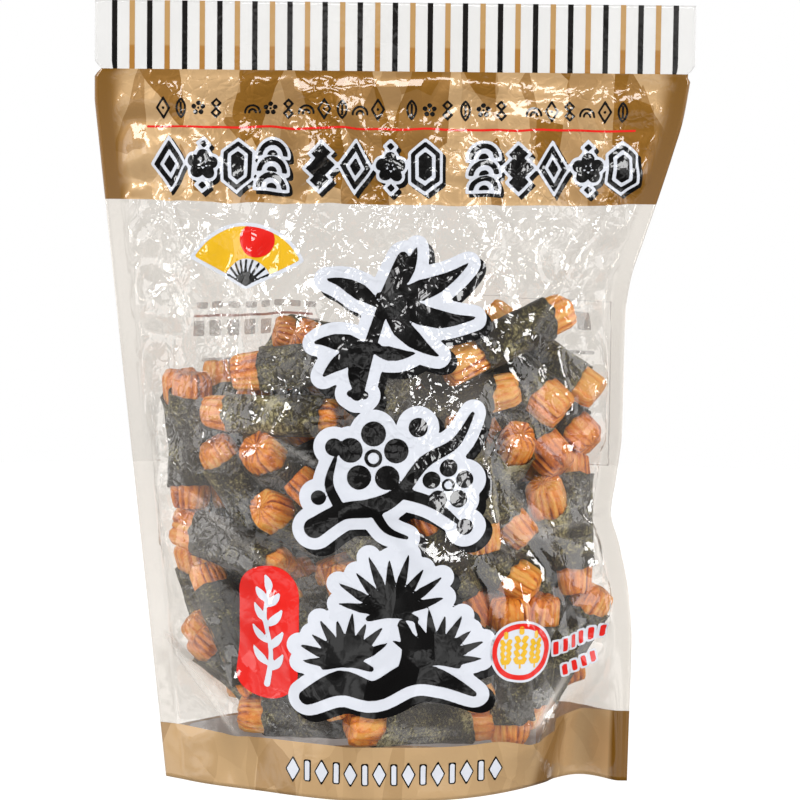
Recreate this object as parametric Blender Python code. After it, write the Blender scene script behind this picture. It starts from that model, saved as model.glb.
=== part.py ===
"""Stand-up pouch of seaweed-wrapped rice crackers, sealed, standing on its bottom gusset.

The pouch is one closed solid out to the outer face of its film: a flat heat-sealed header with a
tear notch at each end, thin side seals, a front and a back panel that swell over the crackers,
pressed-out gusset lines at the lower corners, folds that fan down from the header, and an
arched gusset between two skirts that meet the ground all round.

Frame: metres, +X to the right across the front, +Y to the back, +Z up. The origin is on the
ground, under the middle of the bounding box.
"""

import math

import bmesh
import bpy

# ---- overall sizes ----
HEIGHT = 0.236                # ground to the top of the header
HEADER_HALF_WIDTH = 0.090
HEADER_HEIGHT = 0.0205        # flat seal across the top
LEFT_FOOT = 0.0678            # left outline at the ground, distance from the middle
LEFT_TAPER_TOP = 0.2060       # the left outline widens in a straight line up to here
SEAM_THICKNESS = 0.0008       # both films of a seal
SIDE_SEAL = 0.0060            # width of a side seal
NOTCH_DEPTH = 0.0020          # tear notches, just under the header
NOTCH_HEIGHT = 0.0020

# ---- right-hand outline: height above the ground, distance from the middle ----
RIGHT_OUTLINE = (
    (0.000, 0.0733),
    (0.019, 0.0736),
    (0.043, 0.0740),
    (0.056, 0.0731),
    (0.073, 0.0698),
    (0.083, 0.0671),          # waist, where the film is drawn in
    (0.093, 0.0684),
    (0.108, 0.0700),
    (0.143, 0.0704),
    (0.153, 0.0717),
    (0.166, 0.0757),
    (0.176, 0.0790),
    (0.192, 0.0840),
    (0.202, 0.0868),
    (0.214, 0.0888),
)

# ---- swell of the panels: height above the ground, distance from the seam plane ----
FRONT_SWELL = (
    (0.000, 0.0340),
    (0.020, 0.0360),
    (0.050, 0.0372),
    (0.100, 0.0350),
    (0.140, 0.0290),
    (0.175, 0.0195),
    (0.200, 0.0080),
    (0.2150, 0.0000),
)
BACK_SWELL = (
    (0.000, 0.0330),
    (0.020, 0.0345),
    (0.050, 0.0355),
    (0.100, 0.0330),
    (0.140, 0.0270),
    (0.175, 0.0175),
    (0.200, 0.0070),
    (0.2150, 0.0000),
)
LEFT_FOOT_ROUNDNESS = 1.60    # plan outline at the ground: nearly straight to the left corner
RIGHT_FOOT_ROUNDNESS = 2.60   # and fuller towards the right one
BODY_ROUNDNESS = 2.40         # plan outline higher up, on both sides
ROUNDNESS_HEIGHT = 0.060      # height over which one turns into the other

# ---- lower corners: both films are sealed flat to the gusset there ----
CORNER_HEIGHT = 0.0420        # how high up the side seals the sealed corners reach
RIGHT_CORNER_REACH = 0.0170   # how far the right one runs in beyond the side seal, at the ground
TUCK_MIDDLE = 0.0594          # the right corner's skirts curve to the back between the seal ...
TUCK_HALF_WIDTH = 0.0110      # ... and the swollen front
TUCK_DEPTH = 0.0092
LEFT_TURN = 0.0050            # the left side seal's inner edge is turned to the front
LEFT_TURN_REACH = 0.0280      # how far in from that edge the turn fades away

# ---- gusset underneath ----
SKIRT_WIDTH = 0.0030          # flat edge that meets the ground
GUSSET_ARCH = 0.0060          # rise of the gusset's middle fold

# ---- folds: x and z of both ends, half width, depth ----
FRONT_FOLDS = (
    (-0.074, 0.206, -0.058, 0.160, 0.0045, 0.0022),
    (-0.052, 0.210, -0.044, 0.150, 0.0050, -0.0016),
    (-0.020, 0.212, -0.030, 0.168, 0.0045, 0.0016),
    (0.012, 0.211, 0.006, 0.165, 0.0050, -0.0014),
    (0.040, 0.210, 0.034, 0.158, 0.0045, 0.0018),
    (0.078, 0.196, 0.038, 0.128, 0.0050, 0.0028),
    (0.064, 0.090, 0.040, 0.074, 0.0050, 0.0018),
)
BACK_FOLDS = (
    (-0.070, 0.206, -0.048, 0.158, 0.0050, 0.0020),
    (-0.030, 0.210, -0.036, 0.150, 0.0050, -0.0015),
    (0.008, 0.212, 0.000, 0.162, 0.0050, 0.0016),
    (0.036, 0.210, 0.044, 0.156, 0.0050, -0.0015),
    (0.072, 0.202, 0.052, 0.140, 0.0050, 0.0022),
)

# ---- mesh ----
COLUMNS = 40                  # strips across a panel between its side seals
ROW_PITCH = 0.0068            # height of a row of the swollen body
GUSSET_STRIPS = 6             # strips across the gusset between the skirts' inner edges

FILM_COLOUR = (0.62, 0.50, 0.33)
FILM_ROUGHNESS = 0.25

SHOULDER = HEIGHT - HEADER_HEIGHT


def smooth_step(t):
    """0 to 1 with level ends."""
    t = min(max(t, 0.0), 1.0)
    return t * t * (3.0 - 2.0 * t)


def along(stations, height):
    """Value at a height on a curve through the stations, with no overshoot between them."""
    last = len(stations) - 1
    if height <= stations[0][0]:
        return stations[0][1]
    if height >= stations[last][0]:
        return stations[last][1]
    index = max(i for i in range(last) if stations[i][0] <= height)
    slopes = [
        (stations[i + 1][1] - stations[i][1]) / (stations[i + 1][0] - stations[i][0])
        for i in range(last)
    ]

    def tangent(i):
        if i == 0:
            return slopes[0]
        if i == last:
            return slopes[-1]
        if slopes[i - 1] * slopes[i] <= 0.0:
            return 0.0
        return 2.0 * slopes[i - 1] * slopes[i] / (slopes[i - 1] + slopes[i])

    z0, v0 = stations[index]
    z1, v1 = stations[index + 1]
    span = z1 - z0
    t = (height - z0) / span
    return (
        (2 * t**3 - 3 * t**2 + 1) * v0
        + (t**3 - 2 * t**2 + t) * span * tangent(index)
        + (3 * t**2 - 2 * t**3) * v1
        + (t**3 - t**2) * span * tangent(index + 1)
    )


def left_edge(height):
    """X of the left side seal's outer edge: a straight taper, then upright to the header."""
    t = min(height / LEFT_TAPER_TOP, 1.0)
    return -(LEFT_FOOT + (HEADER_HALF_WIDTH - LEFT_FOOT) * t)


def right_edge(height):
    """X of the right side seal's outer edge."""
    if height > SHOULDER:
        return HEADER_HALF_WIDTH
    return along(RIGHT_OUTLINE, height)


def notch(height):
    """How far the outline steps in at the tear notches."""
    return NOTCH_DEPTH * max(0.0, 1.0 - abs(height - SHOULDER) / NOTCH_HEIGHT)


def fold_depth(folds, x, z):
    """Sum of the folds at one place: each is a ridge along a line that fades at its ends."""
    total = 0.0
    for x0, z0, x1, z1, half_width, depth in folds:
        dx, dz = x1 - x0, z1 - z0
        length = math.hypot(dx, dz)
        t = ((x - x0) * dx + (z - z0) * dz) / length**2
        if not 0.0 < t < 1.0:
            continue
        off = ((x - x0) * dz - (z - z0) * dx) / length
        total += depth * math.exp(-((off / half_width) ** 2)) * math.sin(math.pi * t) ** 0.7
    return total


def seam_offset(x, height):
    """How far both films lie behind the seam plane, where the lower corners curve."""
    fade = smooth_step(1.0 - height / CORNER_HEIGHT)
    across = max(0.0, 1.0 - ((x - TUCK_MIDDLE) / TUCK_HALF_WIDTH) ** 2)
    offset = TUCK_DEPTH * across**1.5
    outer = left_edge(height)
    if x < outer + SIDE_SEAL:
        offset -= LEFT_TURN * max(0.0, x - outer) / SIDE_SEAL
    else:
        offset -= LEFT_TURN * smooth_step(1.0 - (x - outer - SIDE_SEAL) / LEFT_TURN_REACH)
    return offset * fade


def panel_point(side, share, height):
    """A point of one panel. side is -1 for the front and 1 for the back; share is 0 at the left
    side seal's inner edge and 1 at the right one's."""
    low = left_edge(height) + notch(height) + SIDE_SEAL
    seal = right_edge(height) - notch(height) - SIDE_SEAL
    x = low + (seal - low) * share
    high = seal - RIGHT_CORNER_REACH * smooth_step(1.0 - height / CORNER_HEIGHT)
    u = 2.0 * (x - low) / (high - low) - 1.0
    foot_power = LEFT_FOOT_ROUNDNESS if u < 0.0 else RIGHT_FOOT_ROUNDNESS
    power = foot_power + (BODY_ROUNDNESS - foot_power) * smooth_step(height / ROUNDNESS_HEIGHT)
    stations, folds = (FRONT_SWELL, FRONT_FOLDS) if side < 0 else (BACK_SWELL, BACK_FOLDS)
    swell = along(stations, height) * (1.0 - min(1.0, abs(u)) ** power)
    swell += fold_depth(folds, x, height) * min(1.0, swell / 0.006)
    return x, seam_offset(x, height) + side * (0.5 * SEAM_THICKNESS + swell), height


def ring(height):
    """One closed outline at a height: the front from left to right, then the back."""
    low = left_edge(height) + notch(height)
    high = right_edge(height) - notch(height)
    half = 0.5 * SEAM_THICKNESS
    shares = [i / COLUMNS for i in range(COLUMNS + 1)]
    outline = []
    for side in (-1, 1):
        panel = [panel_point(side, share, height) for share in shares]
        panel = [(low, side * half, height)] + panel + [(high, side * half, height)]
        outline += panel if side < 0 else panel[::-1]
    return outline


def row_heights():
    """Heights of the rings: even over the body, closer at the foot, shoulder and notches."""
    body = SHOULDER - 2.0 * NOTCH_HEIGHT
    count = round(body / ROW_PITCH)
    rows = [body * i / count for i in range(count + 1)]
    rows.insert(1, 0.5 * rows[1])
    rows += [SHOULDER - NOTCH_HEIGHT, SHOULDER, SHOULDER + NOTCH_HEIGHT]
    rows += [SHOULDER + 0.5 * HEADER_HEIGHT, HEIGHT]
    return rows


def gusset_point(front, back, t, edge_share):
    """A point under the pouch between the skirts: flat at both skirts, arched between."""
    x = front[0] + (back[0] - front[0]) * t
    y = front[1] + (back[1] - front[1]) * t
    inside = min(t, 1.0 - t) - edge_share
    if inside <= 1e-6:
        return x, y, 0.0
    across = min(1.0, 2.0 * inside / (1.0 - 2.0 * edge_share))
    depth = abs(back[1] - front[1])
    rise = GUSSET_ARCH * smooth_step((depth - 4.0 * SKIRT_WIDTH) / (6.0 * SKIRT_WIDTH))
    return x, y, rise * across**0.8


def close_foot(mesh, foot):
    """Closes the lowest ring with the gusset, strip by strip from front to back."""
    per_side = len(foot) // 2
    front = foot[:per_side]
    back = foot[per_side:][::-1]
    lines = []
    for i in range(per_side):
        start, end = front[i].co, back[i].co
        depth = (end - start).length
        edge_share = min(SKIRT_WIDTH / depth, 0.25)
        shares = [edge_share]
        span = 1.0 - 2.0 * edge_share
        shares += [edge_share + span * k / GUSSET_STRIPS for k in range(1, GUSSET_STRIPS)]
        shares += [1.0 - edge_share]
        inner = [mesh.verts.new(gusset_point(start, end, t, edge_share)) for t in shares]
        lines.append([front[i]] + inner + [back[i]])
    for i in (0, per_side - 1):
        for vert in lines[i][1:-1]:
            mesh.verts.remove(vert)
        lines[i] = [front[i], back[i]]
    for i in range(1, per_side - 2):
        here, there = lines[i], lines[i + 1]
        for k in range(len(here) - 1):
            mesh.faces.new((here[k], here[k + 1], there[k + 1], there[k]))
    mesh.faces.new([lines[0][0], lines[0][1]] + lines[1][::-1])
    mesh.faces.new([lines[-1][1], lines[-1][0]] + lines[-2])


def build_pouch():
    """Lofts the rings, closes the header's top edge and the gusset."""
    mesh = bmesh.new()
    rings = [[mesh.verts.new(point) for point in ring(z)] for z in row_heights()]
    count = len(rings[0])
    for lower, upper in zip(rings, rings[1:]):
        for i in range(count):
            j = (i + 1) % count
            mesh.faces.new((lower[i], lower[j], upper[j], upper[i]))
    top = rings[-1]
    for i in range(count // 2 - 1):
        mesh.faces.new((top[i], top[i + 1], top[count - 2 - i], top[count - 1 - i]))
    close_foot(mesh, rings[0])
    bmesh.ops.triangulate(mesh, faces=mesh.faces[:])
    bmesh.ops.recalc_face_normals(mesh, faces=mesh.faces[:])
    data = bpy.data.meshes.new("pouch")
    mesh.to_mesh(data)
    mesh.free()
    data.shade_smooth()
    data.set_sharp_from_angle(angle=math.radians(35.0))
    return data


def film_material():
    """Printed laminate film: glossy, pale gold."""
    material = bpy.data.materials.new("printed_film")
    material.use_nodes = True
    shader = material.node_tree.nodes["Principled BSDF"]
    shader.inputs["Base Color"].default_value = (*FILM_COLOUR, 1.0)
    shader.inputs["Roughness"].default_value = FILM_ROUGHNESS
    shader.inputs["Metallic"].default_value = 0.0
    return material


def main():
    for old in list(bpy.data.objects):
        bpy.data.objects.remove(old)
    pouch = bpy.data.objects.new("pouch", build_pouch())
    pouch.data.materials.append(film_material())
    bpy.context.scene.collection.objects.link(pouch)


main()
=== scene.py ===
"""A sealed stand-up pouch of rice crackers rolled in seaweed, laid out as a Blender add-on.

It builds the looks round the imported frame: the creased film, the print on it, the rolls inside
and the studio stage. Everything is in metres, in the frame's own axes: +X right, +Y back, +Z up.
"""

import functools
import itertools
import math

import bpy
import numpy as np
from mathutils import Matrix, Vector


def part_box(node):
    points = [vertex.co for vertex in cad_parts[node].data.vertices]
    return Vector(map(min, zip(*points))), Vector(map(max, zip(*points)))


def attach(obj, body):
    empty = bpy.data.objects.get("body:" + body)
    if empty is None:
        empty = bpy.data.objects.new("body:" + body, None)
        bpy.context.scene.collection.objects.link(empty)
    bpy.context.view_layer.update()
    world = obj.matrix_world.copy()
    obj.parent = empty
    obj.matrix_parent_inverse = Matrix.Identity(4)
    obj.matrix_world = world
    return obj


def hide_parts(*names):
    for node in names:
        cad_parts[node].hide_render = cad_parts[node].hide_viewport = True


bl_info = {
    "name": "Rice cracker pouch",
    "version": (1, 0, 0),
    "blender": (4, 5, 0),
    "location": "View3D > Sidebar > Pouch",
    "description": "Clear printed stand-up pouch filled with seaweed-wrapped rice crackers",
    "category": "Object",
}

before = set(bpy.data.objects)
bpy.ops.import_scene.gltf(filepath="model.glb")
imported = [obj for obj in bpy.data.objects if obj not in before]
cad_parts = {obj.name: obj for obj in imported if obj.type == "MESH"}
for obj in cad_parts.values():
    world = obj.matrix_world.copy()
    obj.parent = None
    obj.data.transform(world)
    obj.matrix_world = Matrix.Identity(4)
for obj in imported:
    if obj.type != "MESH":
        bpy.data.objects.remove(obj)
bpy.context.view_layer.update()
NODE = "pouch"
BODY = "root"
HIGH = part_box(NODE)[1]

MM = 0.001

# ---- the pouch, as the frame has it: metres, heights above the ground ----
HEIGHT = HIGH.z
HEADER_HEIGHT = 20.5 * MM
SHOULDER = HEIGHT - HEADER_HEIGHT
HEADER_HALF_WIDTH = HIGH.x
LEFT_FOOT = 67.8 * MM
LEFT_TAPER_TOP = 206 * MM
RIGHT_OUTLINE = (
    (0.000, 0.0733), (0.019, 0.0736), (0.043, 0.0740), (0.056, 0.0731), (0.073, 0.0698),
    (0.083, 0.0671), (0.093, 0.0684), (0.108, 0.0700), (0.143, 0.0704), (0.153, 0.0717),
    (0.166, 0.0757), (0.176, 0.0790), (0.192, 0.0840), (0.202, 0.0868), (0.214, 0.0888),
)
FRONT_SWELL = (
    (0.000, 0.0340), (0.020, 0.0360), (0.050, 0.0372), (0.100, 0.0350), (0.140, 0.0290),
    (0.175, 0.0195), (0.200, 0.0080), (0.2150, 0.0000),
)
BACK_SWELL = (
    (0.000, 0.0330), (0.020, 0.0345), (0.050, 0.0355), (0.100, 0.0330), (0.140, 0.0270),
    (0.175, 0.0175), (0.200, 0.0070), (0.2150, 0.0000),
)
LEFT_FOOT_ROUNDNESS = 1.6     # plan outline at the ground, left half ...
RIGHT_FOOT_ROUNDNESS = 2.6    # ... and right half
BODY_ROUNDNESS = 2.4          # and from here up
ROUNDNESS_HEIGHT = 60 * MM
SIDE_SEAL = 6 * MM
NOTCH_DEPTH = 2 * MM          # tear notches under the header
NOTCH_HEIGHT = 2 * MM
CORNER_HEIGHT = 42 * MM       # how high up the side seals the sealed corners reach
RIGHT_CORNER_REACH = 17 * MM
TUCK_MIDDLE = 59.4 * MM       # the right corner's skirt curves back here
TUCK_HALF_WIDTH = 11 * MM
TUCK_DEPTH = 9.2 * MM
LEFT_TURN = 5 * MM
LEFT_TURN_REACH = 28 * MM

# ---- film grid ----
COLUMNS = 150                 # strips across a panel, 1.2 mm at the header
HEADER_ROWS = 17
FILM_GAP = 0.15 * MM          # half the distance between the films of a seal
GUSSET_ARCH = 5 * MM
GUSSET_ROWS = 24

# ---- printed fields, heights above the ground ----
UPPER_BAND_LOW = 176.4 * MM
LOWER_BAND_HIGH = 16.8 * MM
CORNER_BAND_HIGH = 21.2 * MM  # the band stands higher on the right corner's back-turned skirt
CORNER_BAND_SIDE = 51 * MM
FIELD_EDGES = (0.0, LOWER_BAND_HIGH, UPPER_BAND_LOW, SHOULDER)
FIELD_ROWS = (14, 132, 34)    # even numbers of rows, 1.2 mm high
BODY_ROWS = sum(FIELD_ROWS)
TOP_ROW = BODY_ROWS + HEADER_ROWS

HEADER_SEAL = HEIGHT - 13.4 * MM


# =============================== small helpers ===============================

def hex_rgba(code, alpha=1.0):
    """An sRGB hex colour as linear RGBA."""
    parts = [int(code[i:i + 2], 16) / 255 for i in (1, 3, 5)]
    linear = [c / 12.92 if c <= 0.04045 else ((c + 0.055) / 1.055) ** 2.4 for c in parts]
    return (*linear, alpha)


def smooth_step(t):
    """0 to 1 with level ends."""
    t = np.clip(t, 0.0, 1.0)
    return t * t * (3.0 - 2.0 * t)


def deselect_all():
    if bpy.context.object and bpy.context.object.mode != "OBJECT":
        bpy.ops.object.mode_set(mode="OBJECT")
    bpy.ops.object.select_all(action="DESELECT")


def choose(*pieces):
    """Selects just these pieces and makes the first one active."""
    deselect_all()
    for piece in pieces:
        piece.select_set(True)
    bpy.context.view_layer.objects.active = pieces[0]


def edit(piece, *steps):
    """Runs edit-mode steps on one piece with everything selected."""
    choose(piece)
    bpy.ops.object.mode_set(mode="EDIT")
    bpy.ops.mesh.select_all(action="SELECT")
    for step in steps:
        step()
    bpy.ops.object.mode_set(mode="OBJECT")


def grid_sheet(name, points):
    """A grid primitive whose vertices are moved to points, an array (rows, columns, 3)."""
    rows, columns = points.shape[:2]
    deselect_all()
    bpy.ops.mesh.primitive_grid_add(x_subdivisions=columns - 1, y_subdivisions=rows - 1, size=1)
    piece = bpy.context.object
    piece.name = name
    piece.data.vertices.foreach_set("co", points.reshape(-1).astype(np.float32))
    piece.data.update()
    return piece


def join(name, *pieces):
    """Joins pieces into the first and merges the points they share."""
    choose(*pieces)
    bpy.ops.object.join()
    piece = bpy.context.object
    piece.name = name
    edit(piece, lambda: bpy.ops.mesh.remove_doubles(threshold=1e-6))
    return piece


def mesh_piece(name, points, faces):
    """A piece from arrays of points and faces."""
    mesh = bpy.data.meshes.new(name)
    mesh.from_pydata(points.tolist(), [], faces)
    mesh.shade_smooth()
    piece = bpy.data.objects.new(name, mesh)
    bpy.context.scene.collection.objects.link(piece)
    return piece


def mesh_arrays(piece):
    """A piece's points and faces."""
    mesh = piece.data
    co = np.empty(len(mesh.vertices) * 3, np.float32)
    mesh.vertices.foreach_get("co", co)
    return co.reshape(-1, 3).astype(float), [tuple(p.vertices) for p in mesh.polygons]


def finish_piece(piece, slot, *materials):
    """Gives a piece its materials and its body. Its slot is not used."""
    piece.data.materials.clear()
    for material in materials:
        piece.data.materials.append(material)
    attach(piece, BODY)
    return piece


# =============================== materials ===============================

def new_material(name):
    """A material with an empty node tree."""
    material = bpy.data.materials.new(name)
    material.use_nodes = True
    material.node_tree.nodes.clear()
    return material, material.node_tree


def add_node(tree, kind, **settings):
    """Adds a shader node. Settings in lower case are its properties and come first. The rest are
    its inputs, by name with spaces as underscores, or as in_0, in_1 for a socket's place: each a
    value, a socket, or a node whose first output is meant."""
    node = tree.nodes.new("ShaderNode" + kind)
    for key, value in settings.items():
        if key.startswith("in_"):
            socket = node.inputs[int(key[3:])]
        elif key[0].isupper():
            socket = node.inputs[key.replace("_", " ")]
        else:
            setattr(node, key, value)
            continue
        if isinstance(value, bpy.types.Node):
            value = value.outputs[0]
        if isinstance(value, bpy.types.NodeSocket):
            tree.links.new(value, socket)
        else:
            socket.default_value = value
    return node


def colour_ramp(tree, factor, *stops):
    """A colour ramp over (place, hex colour) stops."""
    node = add_node(tree, "ValToRGB", Fac=factor)
    ramp = node.color_ramp
    while len(ramp.elements) < len(stops):
        ramp.elements.new(0.5)
    for element, (place, code) in zip(ramp.elements, stops):
        element.position = place
        element.color = hex_rgba(code)
    return node.outputs["Color"]


def film_relief(tree):
    """Normal of crumpled film, the same under every ink: flat facets about 23, 11 and 3 mm wide,
    tilted at random, and patches of hair-thin creases where the film has been crushed: the edges
    of 5 mm cells, and long strands that wander across them."""
    place = add_node(tree, "TexCoord").outputs["Object"]
    normal = add_node(tree, "NewGeometry").outputs["Normal"]
    soft = add_node(tree, "TexNoise", Vector=place, Scale=130.0, Detail=2.0)
    bent = add_node(tree, "VectorMath", operation="MULTIPLY_ADD", in_0=soft.outputs["Color"],
                    in_1=(0.005, 0.005, 0.005), in_2=place)
    patches = add_node(tree, "TexNoise", Vector=place, Scale=30.0, Detail=3.0)
    crushed = add_node(tree, "MapRange", Value=patches.outputs["Fac"], From_Min=0.40, From_Max=0.64,
                       To_Min=0.18, To_Max=1.0)
    share = add_node(tree, "Attribute", attribute_name="crush").outputs["Fac"]
    crushed = add_node(tree, "Math", operation="MULTIPLY", in_0=crushed, in_1=share)
    free = add_node(tree, "Attribute", attribute_name="free").outputs["Fac"]
    tall = add_node(tree, "Mapping", Vector=place, Rotation=(0.0, 0.35, 0.0),
                    Scale=(1.25, 0.4, 0.8))
    total = normal
    for scale, tilt, where, how_much in ((44.0, 0.36, tall, free), (95.0, 0.17, bent, crushed),
                                         (330.0, 0.15, bent, crushed)):
        cells = add_node(tree, "TexVoronoi", Vector=where, Scale=scale)
        way = add_node(tree, "VectorMath", operation="SUBTRACT", in_0=cells.outputs["Color"],
                       in_1=(0.5, 0.5, 0.5))
        share = add_node(tree, "Math", operation="MULTIPLY", in_0=how_much, in_1=tilt)
        way = add_node(tree, "VectorMath", operation="SCALE", in_0=way, in_3=share)
        total = add_node(tree, "VectorMath", operation="ADD", in_0=total, in_1=way)
    total = add_node(tree, "VectorMath", operation="NORMALIZE", in_0=total)
    height = add_node(tree, "TexNoise", Vector=place, Scale=420.0, Detail=3.0).outputs["Fac"]
    height = add_node(tree, "Math", operation="MULTIPLY", in_0=height, in_1=0.2)
    edges = add_node(tree, "TexVoronoi", feature="DISTANCE_TO_EDGE", Vector=bent, Scale=190.0)
    crease = add_node(tree, "MapRange", Value=edges.outputs["Distance"], From_Min=0.0,
                      From_Max=0.12, To_Min=1.2, To_Max=0.0)
    height = add_node(tree, "Math", operation="ADD", in_0=height, in_1=crease)
    for scale, reach, depth in ((85.0, 0.035, 1.5), (170.0, 0.05, 1.0)):
        folds = add_node(tree, "TexNoise", Vector=place, Scale=scale, Detail=1.5)
        folds = add_node(tree, "Math", operation="SUBTRACT", in_0=folds.outputs["Fac"], in_1=0.5)
        folds = add_node(tree, "Math", operation="ABSOLUTE", in_0=folds)
        crease = add_node(tree, "MapRange", Value=folds, From_Min=0.0, From_Max=reach, To_Min=depth,
                          To_Max=0.0)
        height = add_node(tree, "Math", operation="ADD", in_0=height, in_1=crease)
    height = add_node(tree, "Math", operation="MULTIPLY", in_0=height, in_1=crushed)
    return add_node(tree, "Bump", Strength=0.9, Distance=0.13 * MM, Height=height,
                    Normal=total).outputs["Normal"]


def schlick(tree, base):
    """Mirror share of a film seen from either side: base straight on, rising to 1 at the edge."""
    facing = add_node(tree, "LayerWeight", Blend=0.5).outputs["Facing"]
    rise = add_node(tree, "Math", operation="POWER", in_0=facing, in_1=5.0)
    return add_node(tree, "MapRange", Value=rise, To_Min=base, To_Max=1.0)


FILM_MIRROR = 0.085           # mirror share of both faces of the film, seen straight on


def clear_film(settings):
    """Clear laminate film, cast and printed inside: sharp gloss over a thin grey-white haze,
    thicker in rubbed patches and low down where dust from the crackers clings."""
    material, tree = new_material("clear_laminate_film")
    normal = film_relief(tree)
    place = add_node(tree, "TexCoord").outputs["Object"]
    cloud = add_node(tree, "TexNoise", Vector=place, Scale=28.0, Detail=4.0).outputs["Fac"]
    cloud = add_node(tree, "MapRange", Value=cloud, From_Min=0.42, From_Max=0.72, To_Min=0.0,
                     To_Max=4.0)
    dust = add_node(tree, "Attribute", attribute_name="haze").outputs["Fac"]
    share = add_node(tree, "Math", operation="MULTIPLY_ADD", in_0=cloud, in_1=settings.haze,
                     in_2=dust)
    see_through = add_node(tree, "BsdfTransparent", Color=hex_rgba(settings.film_tint))
    haze = add_node(tree, "BsdfDiffuse", Color=hex_rgba("#d9d3cb"), Normal=normal)
    veil = add_node(tree, "MixShader", Fac=share, in_1=see_through, in_2=haze)
    gloss = add_node(tree, "BsdfGlossy", Color=(1, 1, 1, 1), Roughness=0.05, Normal=normal)
    mix = add_node(tree, "MixShader", Fac=schlick(tree, FILM_MIRROR), in_1=veil, in_2=gloss)
    add_node(tree, "OutputMaterial", Surface=mix)
    return material


def ink(name, colour, metallic=0.0, roughness=0.45, above=None, highlight_colour=None, cover=1.0):
    """Ink printed inside the laminate: its own colour under the film's sharp gloss. above is its paler
    colour over the header's upper seal, where the films lie apart, painted there as a sheen. Its
    highlight colour, when given, is painted on the facets that catch the light as painted highlights.
    With it the gold is painted darker where the film is least crushed, as a painted reflection of the
    dark studio. cover is how much a thin ink hides."""
    material, tree = new_material(name)
    normal = film_relief(tree)
    place = add_node(tree, "TexCoord").outputs["Object"]
    mottle = add_node(tree, "TexNoise", Vector=place, Scale=45.0, Detail=4.0)
    rgb = hex_rgba(colour)
    dark = tuple(c * 0.84 for c in rgb[:3]) + (1.0,)
    tint = add_node(tree, "Mix", data_type="RGBA", Factor=mottle.outputs["Fac"], in_6=dark,
                    in_7=rgb).outputs[2]
    # Over the upper seal the ink is painted paler: partly the films lying apart there, painted as their
    # sheen.
    if above:
        height = add_node(tree, "SeparateXYZ", Vector=place).outputs["Z"]
        over = add_node(tree, "MapRange", Value=height, From_Min=HEADER_SEAL - 0.3 * MM,
                        From_Max=HEADER_SEAL + 0.3 * MM)
        tint = add_node(tree, "Mix", data_type="RGBA", Factor=over, in_6=tint,
                        in_7=hex_rgba(above)).outputs[2]
    # Painted light on the gold: painted highlights on crushed facets, painted dark reflection where the
    # film is least crushed, and painted reflection of the table over the lower band.
    if highlight_colour:
        soft = add_node(tree, "TexNoise", Vector=place, Scale=60.0, Detail=2.0)
        bent = add_node(tree, "VectorMath", operation="MULTIPLY_ADD", in_0=soft.outputs["Color"],
                        in_1=(0.002, 0.002, 0.002), in_2=place)
        tones = []
        for turn, scale, channel in ((0.7, 58.0, 0), (-0.8, 95.0, 1), (0.1, 52.0, 2)):
            flat = add_node(tree, "Mapping", Vector=bent, Rotation=(0.0, turn, 0.0),
                            Scale=(1.2, 0.5, 0.45))
            cells = add_node(tree, "TexVoronoi", Vector=flat, Scale=scale)
            tones.append(add_node(tree, "SeparateColor",
                                  Color=cells.outputs["Color"]).outputs[channel])
        tone = add_node(tree, "Math", operation="ADD", in_0=tones[0], in_1=tones[1])
        tone = add_node(tree, "MapRange", Value=tone, From_Min=0.62, From_Max=1.20, To_Max=1.6)
        inner = add_node(tree, "Attribute", attribute_name="crush").outputs["Fac"]
        tone = add_node(tree, "Math", operation="MULTIPLY", in_0=tone, in_1=inner)
        # Painted dark reflection: the gold is painted darker and browner where the film is least
        # crushed.
        deep = add_node(tree, "Math", operation="ADD", use_clamp=True, in_0=inner, in_1=0.35)
        tint = add_node(tree, "Mix", data_type="RGBA", Factor=deep,
                        in_6=tuple(c * 0.74 for c in dark[:2]) + (dark[2] * 0.4, 1.0),
                        in_7=tint).outputs[2]
        # Painted reflection of the table: pale patches painted over the lower band.
        flush = add_node(tree, "Attribute", attribute_name="flush").outputs["Fac"]
        patch = add_node(tree, "MapRange", Value=tones[2], From_Min=0.20, From_Max=0.45,
                         To_Min=0.60, To_Max=1.0)
        tone = add_node(tree, "Math", operation="MULTIPLY_ADD", use_clamp=True, in_0=patch,
                        in_1=flush, in_2=tone)
        tint = add_node(tree, "Mix", data_type="RGBA", Factor=tone, in_6=tint,
                        in_7=hex_rgba(highlight_colour)).outputs[2]
    shader = add_node(tree, "BsdfPrincipled", Base_Color=tint, Metallic=metallic,
                      Roughness=roughness, Specular_IOR_Level=0.15, Coat_Weight=1.0,
                      Coat_Roughness=0.05, Coat_IOR=1.55, Normal=normal, Coat_Normal=normal,
                      Alpha=cover)
    add_node(tree, "OutputMaterial", Surface=shader)
    return material


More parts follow.
